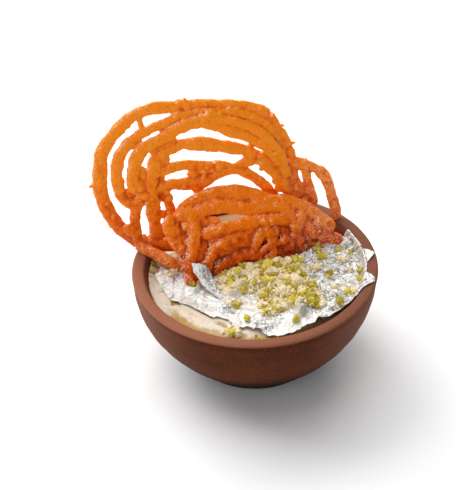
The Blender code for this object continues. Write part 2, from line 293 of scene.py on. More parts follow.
def count_faces(piece):
    print(piece.name, "faces", len(piece.data.polygons))


def disc_faces(rings, sectors, start=0):
    """A fan of faces round the point at start, then ring after ring of four-sided ones."""
    after = [(sector + 1) % sectors for sector in range(sectors)]
    first = start + 1
    faces = [(start, first + s, first + after[s]) for s in range(sectors)]
    for low in range(first, first + (rings - 1) * sectors, sectors):
        high = low + sectors
        faces += [(low + s, high + s, high + after[s], low + after[s]) for s in range(sectors)]
    return faces


def turned(name, profile, sectors, shape):
    """Turn a profile of (radius, height) that starts and ends on the axis; shape moves points."""
    verts = [shape(0.0, 0.0, profile[0][1])]
    for radius, height in profile[1:-1]:
        for sector in range(sectors):
            angle = 2 * math.pi * sector / sectors
            verts.append(shape(radius * math.cos(angle), radius * math.sin(angle), height))
    verts.append(shape(0.0, 0.0, profile[-1][1]))
    last = len(verts) - 1
    rim = last - sectors
    faces = disc_faces(len(profile) - 2, sectors)
    faces += [(rim + s, last, rim + (s + 1) % sectors) for s in range(sectors)]
    return add_piece(name, verts, faces)


def flow(x, y, size, seed=0.0, z=0.0):
    """Soft noise from about -1 to 1 at a place in mm, with features of the given size."""
    return noise.noise(Vector((x / size + 7.3 * seed, y / size - 3.1 * seed, z / size + seed)))


def ease(low, high, value):
    """0 below low, 1 above high and smooth between them."""
    t = min(max((value - low) / (high - low), 0.0), 1.0)
    return t * t * (3 - 2 * t)


print("turning helper ready")

# %% [markdown]
# ## The clay bowl
#
# The bowl is thrown on a wheel from red clay and fired without a glaze. Its side swells out from a
# flat foot and comes up almost straight. The rim is a thick flat-topped band with a small groove
# just under its outer edge, and it stands a little lower on the left. Faint throwing rings run round
# the outside. The profile is worked out from a few sizes, so each of them can be changed by itself.

# %% Bowl shape
RIM_RADIUS = 48.5
RIM_INNER = 43.8
BOWL_HEIGHT = 42.0
FOOT_RADIUS = 26.6
FLOOR = 7.0
INNER_RISE = 33.0
INNER_FOOT = 22.0
UNDERCUT = 1.4
RIM_ROUND = 1.0
RIM_TILT = math.tan(math.radians(2.0))
# Powers that bend the outside line: how it swells and how it comes upright.
SIDE_SWELL = 2.37
SIDE_RISE = 0.834
# The groove under the rim: how far down, and how deep.
GROOVE = ((1.2, 0.1), (1.5, 0.45), (1.8, 0.8), (2.1, 0.85), (2.5, 0.65), (3.0, 0.5))


def outside(t):
    """Radius and height on the outside; t is 0 at the rim and 1 at the foot."""
    angle = 0.5 * math.pi * t
    radius = FOOT_RADIUS + (RIM_RADIUS - FOOT_RADIUS) * math.cos(angle) ** SIDE_SWELL
    return radius, BOWL_HEIGHT * (1 - math.sin(angle) ** SIDE_RISE)


def inside(height):
    """Radius of the inner wall at a height."""
    drop = min((BOWL_HEIGHT - height) / (BOWL_HEIGHT - FLOOR), 1.0)
    wall = INNER_FOOT + (RIM_INNER - INNER_FOOT) * (1 - drop**2.2) ** 0.75
    return wall - UNDERCUT * min(6 * drop, 1)


def throwing_rings(height):
    """The potter's fingers leave two sets of faint rings."""
    return 0.07 * math.sin(2.6 * height) + 0.08 * math.sin(1.13 * height + 1)


def bowl_profile():
    """Floor, inner wall, rounded rim, groove under it, outside and foot, in that order."""
    points = [(0.0, FLOOR)]
    for step in range(41):
        rise = INNER_RISE * (step / 40) ** 1.4
        points.append((inside(FLOOR + 0.01 + rise), FLOOR + rise))
    middle, half = 0.5 * (RIM_INNER + RIM_RADIUS), 0.5 * (RIM_RADIUS - RIM_INNER)
    for step in range(19):
        angle = math.pi * (1 - step / 18)
        across = math.copysign(abs(math.cos(angle)) ** 0.75, math.cos(angle))
        round_off = RIM_ROUND * (math.sin(angle) ** 0.75 - 1)
        points.append((middle + half * across, BOWL_HEIGHT + round_off))
    for down, pull in GROOVE:
        points.append((RIM_RADIUS - pull, BOWL_HEIGHT - down))
    for step in range(70):
        radius, height = outside(0.035 + 0.925 * step / 69)
        points.append((radius + throwing_rings(height) - 0.25, height))
    points += [(FOOT_RADIUS - 0.15, 0.5), (FOOT_RADIUS - 0.7, 0.1), (FOOT_RADIUS - 1.5, 0.0)]
    points += [(16.0, 0.0), (0.0, 0.0)]
    return points


def hand_made(x, y, z):
    """Lean the rim and let the wheel's small errors show."""
    wander = 1 + 0.0035 * flow(x, y, 30.0, 1.0, z) * ease(4, 30, z)
    lean = x * RIM_TILT * z / BOWL_HEIGHT
    chip = 0.16 * flow(x, y, 5.0, 2.0, z) * ease(38, 42, z)
    return x * wander, y * wander, z + lean + chip


bowl = turned("bowl", bowl_profile(), 220, hand_made)
count_faces(bowl)

# %% [markdown]
# ## Unglazed clay
#
# Fired clay is matt, with fine grains of other colours and a few pits where grit fell out. Inside,
# above the cream, the wall has drunk syrup and milk, so it is redder and a little shiny. The wet
# part is found from the place: nearer to the bowl's axis than the rim, and in height between the
# cream and the rim's flat top. That top is painted pale, paler at left and darker at right, as
# painted light where the light falls on it, and its height is measured along the leaning rim. The
# side is painted lighter at left and right than in the middle, which is painted light too, and the
# foot is painted near black toward the table, which is painted shade.

# %% Clay finish
clay = Finish("clay_finish", Roughness=0.85, IOR=1.45, Specular_IOR_Level=0.12)
clay_cloud = clay.noise(14.0, 3.0, 1.0)
clay_grain = clay.noise(0.55, 2.0, 2.0)
clay_grit = clay.noise(1.6, 1.0, 3.0)
clay_x, clay_y, clay_z = (clay.axis(index) for index in range(3))
from_axis = (clay_x * clay_x + clay_y * clay_y).power(0.5)
inside_rim = 1.0 - from_axis.step(42.9 * MM, 43.9 * MM)
below_top = 1.0 - clay_z.step(40.2 * MM, 42.0 * MM)
wet = inside_rim * below_top * clay_z.step(28.0 * MM, 32.0 * MM)
level = clay_z - clay_x * RIM_TILT
on_rim = level.step(40.9 * MM, 41.5 * MM)
body = clay.blend(clay_cloud.step(0.3, 0.7), srgb("4C2311"), srgb("5A2B14"))
# Painted light: the side is lighter toward left and right, where light falls on it, and darker in the
# middle.
body = clay.blend((clay_x * clay_x).step(0.0001, 0.0023), body, srgb("805545"))
# Painted light: the rim's flat top is pale where the light falls on it, paler at left and darker at
# right.
rim = clay.blend(clay_x.step(-45 * MM, 45 * MM) * 0.8 + clay_cloud * 0.4 - 0.1,
                 srgb("9A624A"), srgb("764936"))
clay_colour = clay.blend(on_rim, body, rim)
clay_colour = clay.blend(clay_grain.step(0.52, 0.8) * 0.2, clay_colour, srgb("B08070"))
clay_colour = clay.blend((1.0 - clay_grit.step(0.22, 0.31)) * 0.8, clay_colour, srgb("2E1610"))
clay_colour = clay.blend(wet * 0.85, clay_colour, srgb("7A2E0E"))
# Painted shade: toward the table the foot darkens to near black.
painted_foot_shade = 1.0 - clay_z.step(7.0 * MM, 19.0 * MM)
clay.feed("Base Color", clay.blend(painted_foot_shade * 0.88, clay_colour, srgb("0C0302")))
clay.feed("Roughness", 0.8 - wet * 0.35)
clay.relief(clay_grain * 0.5 + clay_grit.step(0.2, 0.34) + clay_cloud, 0.12)
bowl.data.materials.append(clay.material)
print("clay nodes", len(clay.tree.nodes))

# %% [markdown]
# ## Rabri
#
# Rabri is boiled and stirred until skins of cream form, and the skins are folded back in. So its
# surface is not flat: pale soft clots lie in a thinner yellow milk, which creeps up the wall. The
# height and the colour have to agree, so the clot value is worked out once for each point, used for
# the height, and kept on the mesh as an attribute that the material reads.

# %% Rabri shape
RABRI_LEVEL = 36.5


def keep_values(mesh, name, values):
    """Keep one number for each point on the mesh, for a material or a tree to read."""
    mesh.attributes.new(name, "FLOAT", "POINT").data.foreach_set("value", values)


def clotted(x, y):
    """0 where there is thin milk and 1 in the middle of a clot."""
    value = flow(x, y, 6.5, 4.0) + 0.45 * flow(x, y, 2.4, 5.0)
    near_wall = ease(34.5, 39.0, math.hypot(x, y) + 2.5 * value) * (0.2 + 0.8 * ease(-37, -27, x))
    return ease(-0.38, 0.06, value) * (1 - near_wall) * (1 - drawn_away(x, y))


def drawn_away(x, y):
    """1 where the cream has sunk along the wall, at the right of the front."""
    bearing = math.degrees(math.atan2(x, -y))
    return ease(35.5, 39.5, math.hypot(x, y)) * math.exp(-(((bearing - 35) / 14) ** 2))


def rabri_height(x, y):
    """Height of the cream: clots stand up, milk lies low and creeps up the wall."""
    ripple = 0.25 * flow(x, y, 3.0, 6.0) + 0.12 * flow(x, y, 1.1, 7.0)
    creep = 0.9 * ease(38.0, 42.0, math.hypot(x, y)) ** 2 - 2.6 * drawn_away(x, y)
    level = RABRI_LEVEL - 0.15 + 0.75 * clotted(x, y) + ripple * clotted(x, y) + creep
    return level + x * RIM_TILT * level / BOWL_HEIGHT


def rabri_point(x, y, z):
    """Points of the flat top take the cream's height, and the rest lean with the bowl."""
    if z < RABRI_LEVEL - 0.01:
        return x, y, z + x * RIM_TILT * z / BOWL_HEIGHT
    return x, y, rabri_height(x, y)


rabri_profile = [(0.0, RABRI_LEVEL)]
rabri_profile += [(0.6 + 41.5 * i / 89, RABRI_LEVEL) for i in range(90)]
rabri_profile += [(inside(height) - 0.1, height) for height in (34.0, 28.0, 20.0, 14.0, 10.0)]
rabri_profile += [(inside(8.0) - 1.0, 8.0), (0.0, 7.8)]
rabri = turned("rabri_cream", rabri_profile, 260, rabri_point)

keep_values(rabri.data, "clot",
            [clotted(v.co.x / MM, v.co.y / MM) for v in rabri.data.vertices])
count_faces(rabri)

# %% Rabri finish
cream = Finish("cream_finish", Roughness=0.3, Subsurface_Weight=0.25, Subsurface_Scale=0.004,
               Coat_Weight=0.35, Coat_Roughness=0.12)
cream_lump = cream.noise(1.3, 3.0, 1.0)
cream_cloud = cream.noise(5.0, 2.0, 2.0)
milk = cream.blend(cream_cloud, srgb("A4843E"), srgb("C2A468"))
skin = cream.blend(cream_lump, srgb("D2C0A0"), srgb("E8E0D4"))
thick = (cream.attribute("clot") + (cream_lump - 0.5) * 0.5).step(0.1, 0.65)
cream.feed("Base Color", cream.blend(thick, milk, skin))
cream.feed("Roughness", 0.26 + thick * 0.25)
cream.relief(cream_lump + cream.noise(0.4, 2.0, 3.0) * 0.4, 0.15)
rabri.data.materials.append(cream.material)
print("cream nodes", len(cream.tree.nodes))

# %% [markdown]
# ## Where the batter ran
#
# Each jalebi was piped flat, so its strands are laid out on a face with two directions: u along the
# foot and w up the face, with d out toward the front. The rear one is a set of rings round one
# middle. A ring is written as its radius at each half hour of a clock, which is short and shows how
# uneven it is. Strands that cut across the rings are a few places (u, w) or (u, w, d) that they pass
# through. A strand's size is the radius it is piped with, in mm: one number, or several when it
# swells and thins on its way.
#
# Batter that spilled or broke follows no pattern, so it is drawn by chance with a fixed seed: lumps
# are short ends that lie along the junctions of the rear net, and scraps are the mass of short ends
# under the clear loops of the front one.

# %% The two faces
REAR_FACE = dict(foot=(-45.0, 11.7, 45.0), turn=12.8, lean=(8.0, 8.0), span=80.0)
FRONT_FACE = dict(foot=(-24.0, -4.5, 38.0), turn=23.0, lean=(34.0, 25.0), span=60.0)
for title, face in (("rear", REAR_FACE), ("front", FRONT_FACE)):
    print(title, "face turns", face["turn"], "and leans", face["lean"], "degrees")

# %% Strands of the rear jalebi
REAR_MIDDLE = (24.0, 22.0)
# Each ring: the hour it starts at, its size, how far forward it lies, its radii.
REAR_RINGS = {
    "outer": (6.0, (2.7, 2.7, 2.9, 2.9, 2.5, 2.7, 2.8, 2.8), -0.8, (30, 27.7, 29.8, 33.6, 35.3,
        36.6, 38, 40.1, 40.7, 40.8, 38.9, 35.4, 33.9, 33.3, 35.7, 38.3, 37.4, 37.8, 38, 43)),
    "second": (9.0, (2.5, 2.7, 2.0, 2.2, 2.3, 2.3), 0.4, (31.5, 33.4, 34, 33.5, 31.1, 31, 30.8,
        31.2, 33, 34.6, 35.3, 35.5)),
    "third": (9.0, (2.8, 2.8, 2.3, 2.3, 2.3), 1.6, (24.5, 27.1, 27.8, 28.2, 26.1, 26.8, 27.3, 26.3,
        25.5, 27.3, 29.8, 32.2, 36)),
    "crest": (11.8, (1.4, 1.8, 2.0), 2.1, (29, 29.6, 30, 31, 32.6, 34, 35)),
}
REAR_STRANDS = {
    "hook": (2.4, ((1, 21), (-0.5, 17), (-5, 18), (-7.5, 23), (-7.5, 30))),
    "hook_fill": (2.2, ((-6, 21), (-3, 22.5), (-0.5, 25))),
    "fourth": ((2.4, 2.8, 2.9, 2.6, 2.3, 2.3), ((5, 32, 1), (9, 36.8), (16.5, 39.8), (24, 39.6),
        (28.5, 38.8), (37.6, 36.1), (43, 34.3), (52, 27.5), (59.5, 16), (63, 9))),
    "fifth": (2.2, ((7.5, 29.8, 1), (17, 31), (28, 29.2), (33, 29.2), (38, 27), (44, 29.2),
        (50, 31))),
    "sixth": ((2.4, 2.6, 2.3, 2.1), ((7, 22.5, 1), (14, 23.3), (21, 22.3), (27, 22.9), (33, 25.8),
        (39, 26.5), (44, 24.2), (49.6, 18.9), (59, 7))),
    "post": (2.8, ((8, 35, 1), (5, 26, 1), (5.5, 11, 0.5), (6, -1, 0.5))),
    "post_inner": ((1.8, 1.8, 2.1), ((10, 31), (9, 25), (12, 13), (12, 7), (9.5, 0))),
    "knot": (2.4, ((3, 32, 0.8), (1.5, 27, 0.8), (3, 19, 0.8))),
    "web_high": (2.1, ((4.5, 40), (8, 42.5), (13, 44.5), (17, 46))),
    "web_middle": (2.1, ((7, 33), (13, 35.6))),
    "web_low": (2.1, ((20, 26.5), (27, 27), (34, 28))),
    "web_band": (2.0, ((18, 24, -0.5), (26, 22, -0.5), (31, 24.5, -0.5))),
    "bridge": (1.5, ((2.2, 53.6), (3.0, 49.0))),
    "crest_fill": (1.8, ((33, 49.4, 1.2), (39.3, 46.9, 1.2), (46, 43.6, 1.2))),
    "inner_fill": (1.8, ((5.5, 38.6, 0.4), (9.7, 41.2, 0.4), (16.5, 43, 0.4))),
    "post_fill": (1.6, ((9.2, 20.5, -0.3), (9.2, 16.5, -0.3))),
    "junction_fill": (1.8, ((64.8, 17.4, 0.2), (66.1, 13, 0.2), (67.2, 9.5, 0.2))),
    "post_fill_low": (2.0, ((6.8, 11.4, -0.3), (9, 10.2, -0.3), (11.5, 9.4, -0.3))),
    "second_link": (1.7, ((0.6, 43.4, 1.0), (3.6, 41.6, 1.2))),
    "post_fill_foot": (1.8, ((8.4, 4.2, -0.3), (8.4, 1.0, -0.3))),
    "arch_link": (2.0, ((22.0, 21.8, 0.3), (24.0, 18.6, 0.3), (24.6, 16, -0.2))),
    "tie": (2.2, ((-1.2, 17), (-2.5, 9), (-1.5, 2))),
    "right_loop": (2.3, ((57, 28.8), (64, 26), (69.3, 23.4), (73.5, 20.5), (76.5, 16), (78.6, 9),
        (80.2, 1.5), (80.8, -2.5))),
    "right_inner": (2.2, ((55.6, 32), (59.3, 25.5), (61.6, 19), (66, 11), (70, 3), (71, -8))),
    "right_link": (2.1, ((61.6, 27.6), (66.1, 25.4), (67.6, 21.5), (69.3, 14), (71.8, 6))),
    "right_middle": (2.6, ((48.4, 32.4, 1), (57.5, 18.8, 1), (66.2, 6.5), (70.5, -0.5))),
    "ring_fill": (2.5, ((-6.8, 7.6, 0.3), (-3.6, 4.8, 0.5), (-0.5, 3.0, 0.6))),
    "foot_bar": (2.1, ((-3.2, 2.2, 0.6), (1, -0.4, 1.2), (6, -1.8, 1.4), (11, -2.6, 1.6),
        (17, -3.8, 2))),
    "tail": ((2.4, 2.8, 2.9, 2.3), ((-2.4, 0.4, 0.6), (0.3, -2.5, 2.2), (3.4, -4.1, 4.4),
        (7.6, -5.8, 7.6), (13, -8.4, 11.5))),
}
# Knobs where loops piled up: place on the face, how far forward, radius.
REAR_KNOBS = ((-0.8, 42.9, 1.2, 1.6), (1.7, 41.0, 1.5, 1.9), (-3.5, 32.6, 1.2, 1.9),
              (6.0, 30.4, 1.8, 2.1), (4.7, 24.9, 1.5, 2.0), (6.9, 28.9, 1.8, 1.7),
              (1.0, 29.5, 1.8, 1.9), (-1.5, 24.5, 1.5, 2.0), (47.2, 38.6, 1.2, 1.9),
              (49.9, 33.9, 1.5, 2.1), (53.2, 37.8, 1.2, 1.9), (55.1, 28.8, 1.6, 2.0),
              (57.8, 42.8, 1.0, 1.8), (54.6, 47.6, 1.0, 1.8), (63.5, 14.5, 1.4, 2.2),
              (66.5, 9.0, 1.2, 2.2), (31.3, 30.2, 1.2, 2.1), (60.5, 27.5, 1.2, 2.0),
              (19.6, 26.2, 0.3, 1.8), (0.4, 1.0, 0.5, 2.0))
# Spikes where a thread of batter broke off: root and tip.
REAR_SPIKES = (((-13.5, 28.4), (-19.0, 26.7)), ((21.8, 55.0), (19.7, 60.0)),
               ((58.6, 34.6), (63.6, 35.2)))
# Lines along which short ends piled up: start, end, how far to each side, number.
REAR_LUMPS = (((46.0, 41.0), (67.0, 3.0), 1.7, 28), ((3.0, 34.0), (3.5, 19.0), 2.2, 14),
              ((32.0, 49.5), (50.0, 38.0), 2.6, 14), ((22.0, 24.5), (36.0, 26.5), 0.8, 5))
print("rear rings", len(REAR_RINGS), "strands", len(REAR_STRANDS), "knobs", len(REAR_KNOBS))

# %% Strands of the front jalebi
FRONT_STRANDS = {
    "arc_outer": ((2.5, 2.6, 3.0, 2.8, 2.3), ((-3, 21.5), (0.8, 26.6), (8.8, 30.2), (17, 31.2),
        (24, 30.2), (31, 27), (38, 23), (49, 17.3), (57, 11))),
    "arc_second": ((2.3, 2.6, 2.5, 2.2), ((1, 20, 1), (5, 24, 1), (11.4, 26.1, 1), (16.8, 26, 1),
        (23, 24, 1), (29, 22, 1), (38, 19.5), (50, 15))),
    "arc_front": ((1.9, 2.3, 2.3, 2.0), ((6, 17, 1), (12, 16.6, 2), (18.5, 17.2, 2.4),
        (26, 17, 2.4), (34, 16.2, 2.2), (42, 14.6, 1.4), (47, 12, 1))),
    "diagonal": (1.8, ((5.5, 2, 1), (8.5, 7, 1.5), (13.5, 11, 1.8), (19.5, 12.7, 1.8),
        (27, 12.6, 1))),
    "diagonal_low": (2.0, ((9, -1, 0.2), (14, 4.5, 0.4), (20, 7.7, 0.5), (26, 8.8, 0.3),
        (31, 8, -0.5))),
    "post": (2.4, ((-1.5, 26.5, 1), (3.2, 25.5, 1.2), (5, 21.5, 1.4), (3.6, 15.5, 1.5),
        (1.2, 9.5, 1.2), (-1.2, 3, 0.5), (-1, -3))),
    "post_low": (2.1, ((4.6, 13.5, 0.4), (4.2, 9.5, 0.6), (2, 5.5, 0.4))),
    "post_inner": (1.9, ((6.5, 15), (6, 9), (5.6, 2), (5.8, -2))),
    "left_low": (2.6, ((-4.5, 24.5), (-4.5, 19, 0.5), (-2.2, 13, 0.3), (-1.5, 6, 0), (-1.5, 2, 0))),
    "left_blob": (2.2, ((-2.6, 26.8, 1), (-5, 24.6, 1.6), (-4.8, 21.6, 1.6), (-1.6, 20.4, 1.6))),
    "left_fill": (2.6, ((-2.5, 22, -0.6), (1.5, 17, -0.6))),
    "left_sheet": (2.8, ((-5.2, 18.8), (-2.6, 16.2), (0, 13), (0.3, 8))),
    "seam_high": ((1.7, 2.0, 2.1, 2.0), ((29, 21, 1), (35.5, 21.3, 1.8), (40.5, 20.4, 1.8),
        (43.8, 17.4, 1.9), (45.4, 12.9, 1.8), (46.2, 7.7, 1.6), (46.6, 2.2, 1))),
    "seam_back": (2.1, ((30, 24.3, 0.5), (37, 23.7, 1), (42.5, 22.9, 1), (47.7, 20.4, 1.2),
        (52.3, 16.9, 1.2), (56, 13.1, 1.2), (59, 9.5, 1))),
    "right_fall": (2.3, ((39, 17.5), (41, 10), (43, 4), (44, -3))),
    "right_cross": (2.0, ((49.5, 16.5, 1.5), (47.8, 12.8, 2), (46, 9, 1.6))),
    "right_body": (2.7, ((48, 14), (51, 10, 0.5), (52, 4), (54, 0))),
    "right_bulb": (2.3, ((53.5, 11.3, 1.4), (57.7, 10, 1.8), (60.2, 8.3, 1.8), (59.4, 6.8, 1.8),
        (55.5, 7.8, 1.4))),
    "right_tail": (2.5, ((51, 7.5, 1), (54.5, 6, 1.4), (58.5, 3.4, 1.5), (64, 0.1, 1.5))),
    "right_low": (2.3, ((47, 11), (53, 5.5), (57, 1))),
    "fill_high": (2.6, ((9, 13.6, 0.4), (18, 14.6, 1), (26, 14.6, 1), (33, 13, 0.8))),
    "fill_low": (2.5, ((11, 7, 0.6), (16, 9.4, 0.8), (23, 10, 0.8), (30, 9.8, 0.5))),
    "fill_foot": (2.6, ((12, 2.6, 0.4), (18, 4.2, 0.6), (25, 4.4, 0.6), (30, 2, 0.3))),
    "slot_fill": (2.5, ((7.5, 21), (11, 20.2, 0.4), (15.5, 18.8, 0.6))),
    "low": (2.3, ((8, 2, -1), (17, 2, -1), (29, 3.5, -0.6), (41, 1.5), (47, 2))),
    "low_lump": (1.7, ((38.5, 5.5, 1.2), (42, 6, 1.2), (43, 3.4, 1.2), (39.5, 3, 1.2))),
    "curl": (1.9, ((25.4, 6.2, 1), (28.6, 9, 1.8), (30.8, 11.8, 2), (33.3, 11.7, 2),
        (34.6, 8.8, 1.6), (34.8, 5, 1))),
    "swirl": (1.35, ((29.7, 3, 1.8), (31.2, 5.4, 1.8), (33.8, 5.2, 1.8), (34.4, 3.2, 1.8),
        (32.6, 1.4, 1.8), (30.2, 2, 1.8))),
    "under_arc": (2.8, ((1, 24, -0.5), (9, 28, -0.5), (18, 28.3, -0.5), (28, 25.4, -0.5),
        (40, 20.4, -0.5), (50, 15.5, -0.5), (58, 9, -0.8))),
    "back_high": (2.3, ((30, 16, -4), (38, 13.5, -3.5), (46, 10, -3))),
    "back_low": (2.3, ((4, 8, -3), (18, 6, -4), (34, 7, -4), (50, 4, -3))),
}
print("front strands", len(FRONT_STRANDS))

# %% Short ends by chance
def lumps(seed):
    """Short ends of strand that lie on the net where its loops ran together."""
    chance = random.Random(seed)
    made = []
    for start, end, spread, count in REAR_LUMPS:
        heading = math.atan2(end[1] - start[1], end[0] - start[0])
        for _ in range(count):
            along = chance.random()
            u = start[0] + (end[0] - start[0]) * along + chance.gauss(0, spread)
            w = start[1] + (end[1] - start[1]) * along + chance.gauss(0, spread)
            turn = heading + chance.gauss(0, 0.5)
            half = chance.uniform(0.2, 2.2)
            du, dw = half * math.cos(turn), half * math.sin(turn)
            depth = chance.uniform(0.5, 1.7)
            made.append((chance.uniform(1.1, 2.0), ((u - du, w - dw, depth - 0.4), (u, w, depth),
                                                    (u + du, w + dw, depth - 0.4))))
    return made


def scraps(seed, spacing=2.7):
    """Short ends of strand that ran together into the mass under the clear loops."""
    mass_top = ((0, 8, 26, 31, 42, 50, 60), (17, 16, 16, 21, 19, 14, 4))
    chance = random.Random(seed)
    made = []
    for column in range(int(60 / spacing)):
        for row in range(8):
            u = -1.5 + spacing * (column + chance.uniform(-0.4, 0.4))
            w = -1.5 + spacing * (row + chance.uniform(-0.4, 0.4))
            if w > np.interp(u, *mass_top):
                continue
            turn = chance.gauss(0.2, 0.8)
            half = chance.uniform(0.3, 1.5)
            du, dw = half * math.cos(turn), half * math.sin(turn)
            depth = chance.uniform(-1.4, 0.8)
            sag = chance.uniform(-0.8, 0.8)
            made.append((chance.uniform(1.5, 2.7), ((u - du, w - dw, depth),
                                                    (u, w + sag, depth + 0.5),
                                                    (u + du, w + dw, depth))))
    return made


print("lumps", len(lumps(7)), "and scraps", len(scraps(5)))

# %% Places on a leaning face
def on_face(face, u, w, d=0.0):
    """A place on a leaning face, in mm."""
    turn = math.radians(face["turn"])
    start, end = face["lean"]
    lean = math.radians(start + (end - start) * u / face["span"])
    along = Vector((math.cos(turn), math.sin(turn), 0.0))
    back = Vector((-math.sin(turn), math.cos(turn), 0.0))
    rise = back * math.sin(lean) + Vector((0.0, 0.0, math.cos(lean)))
    front = -back * math.cos(lean) + Vector((0.0, 0.0, math.sin(lean)))
    return Vector(face["foot"]) + along * u + rise * w + front * d


def front_of(face):
    """The direction that the middle of a face looks in, and the middle of its foot."""
    foot = on_face(face, 0.5 * face["span"], 0)
    return on_face(face, 0.5 * face["span"], 0, 1) - foot, foot


def ring_places(first_hour, depth, radii):
    """A ring's radii, from its first hour on, as places on the rear face."""
    places = []
    for step, radius in enumerate(radii):
        angle = math.radians(30 * (first_hour + 0.5 * step))
        u = REAR_MIDDLE[0] + radius * math.sin(angle)
        w = REAR_MIDDLE[1] + radius * math.cos(angle)
        places.append((u, w, depth))
    return places


rear_routes = [(size, ring_places(hour, depth, radii))
               for hour, size, depth, radii in REAR_RINGS.values()]
rear_routes += list(REAR_STRANDS.values())
rear_routes += [(size, ((u, w, d), (u + 0.8, w + 0.8, d))) for u, w, d, size in REAR_KNOBS]
rear_routes += [((1.9, 0.7), spike) for spike in REAR_SPIKES] + lumps(7)
front_routes = list(FRONT_STRANDS.values()) + scraps(5)
print("strands in the rear jalebi", len(rear_routes), "and in the front one", len(front_routes))

# %% [markdown]
# ## Piping with Geometry Nodes
#
# A strand follows a path, which is what Geometry Nodes do well. The path is cut into short steps,
# noise lets it wander and swell as poured batter does, and a round section is swept along it. Batter
# settles as it fries, so each strand is then pressed a little flat toward its own middle line. The
# middle line is stored on the path first, and it is still there on the swept tube. Beads of batter
# that dripped are strewn over the tubes and sunk a little into them.

# %% Geometry helpers
class Grower(Net):
    """A Geometry Nodes tree with named inputs, run once to give a plain mesh."""

    def __init__(self, name, **sizes):
        super().__init__(bpy.data.node_groups.new(name, "GeometryNodeTree"))
        self.sizes = sizes
        self.keys = {}
        face = self.tree.interface
        face.new_socket("Geometry", in_out="INPUT", socket_type="NodeSocketGeometry")
        face.new_socket("Geometry", in_out="OUTPUT", socket_type="NodeSocketGeometry")
        for key in sizes:
            made = face.new_socket(key, in_out="INPUT", socket_type="NodeSocketFloat")
            self.keys[key] = made.identifier
        self.inputs = self.tree.nodes.new("NodeGroupInput")
        self.start = Value(self, self.inputs.outputs[0])

    def size(self, key):
        return Value(self, self.inputs.outputs[key])

    def wobble(self, size, seed, out=0):
        """Noise at the place of each point; out 0 is a number and 1 is a colour."""
        sockets = {"Scale": 1.0 / (size * MM), "W": seed, "Detail": 2.0}
        return self.node("ShaderNodeTexNoise", {"noise_dimensions": "4D"}, sockets, out)

    def scaled(self, vector, factor):
        return self.node("ShaderNodeVectorMath", {"operation": "SCALE"}, {0: vector, 3: factor})

    def moved(self, shape, offset):
        """The shape with each of its points moved by the offset."""
        return self.node("GeometryNodeSetPosition", None, {"Geometry": shape, "Offset": offset})

    def chance(self, seed=0):
        """A random number from 0 to 1 for each point."""
        return self.node("FunctionNodeRandomValue", {"data_type": "FLOAT"},
                         {2: 0.0, 3: 1.0, "Seed": seed}, 1)

    def chances(self, low, high, seed):
        """Three random numbers from low to high for each point."""
        return self.node("FunctionNodeRandomValue", {"data_type": "FLOAT_VECTOR"},
                         {0: (low, low, low), 1: (high, high, high), "Seed": seed})

    def keep(self, shape, name, value, kind="FLOAT", domain="POINT"):
        """Keep a value on the shape under a name."""
        return self.node("GeometryNodeStoreNamedAttribute", {"data_type": kind, "domain": domain},
                         {"Geometry": shape, "Name": name, "Value": value})

    def kept(self, name, kind="FLOAT"):
        """A value that was kept on the shape."""
        return self.node("GeometryNodeInputNamedAttribute", {"data_type": kind}, {"Name": name})

    def end(self, shape, material):
        """Realize what was grown, give it its material and close the tree."""
        real = self.node("GeometryNodeRealizeInstances", None, [shape])
        done = self.node("GeometryNodeSetMaterial", None, {0: real, "Material": material})
        output = self.tree.nodes.new("NodeGroupOutput")
        self.tree.links.new(done.socket, output.inputs[0])

    def attach(self, target, **sizes):
        """Put the tree on an object as a modifier, with its inputs set."""
        made = target.modifiers.new(self.tree.name, "NODES")
        made.node_group = self.tree
        for key, value in {**self.sizes, **sizes}.items():
            made[self.keys[key]] = value


def plain_mesh(source, name):
    """The object's finished shape as a plain mesh object at the origin; the source goes."""
    graph = bpy.context.evaluated_depsgraph_get()
    mesh = bpy.data.meshes.new_from_object(source.evaluated_get(graph))
    mesh.name = name
    bpy.data.objects.remove(source)
    return add_object(name, mesh)


print("geometry helpers ready")

# %% The piping tree
SMALLEST_BEAD = 0.55


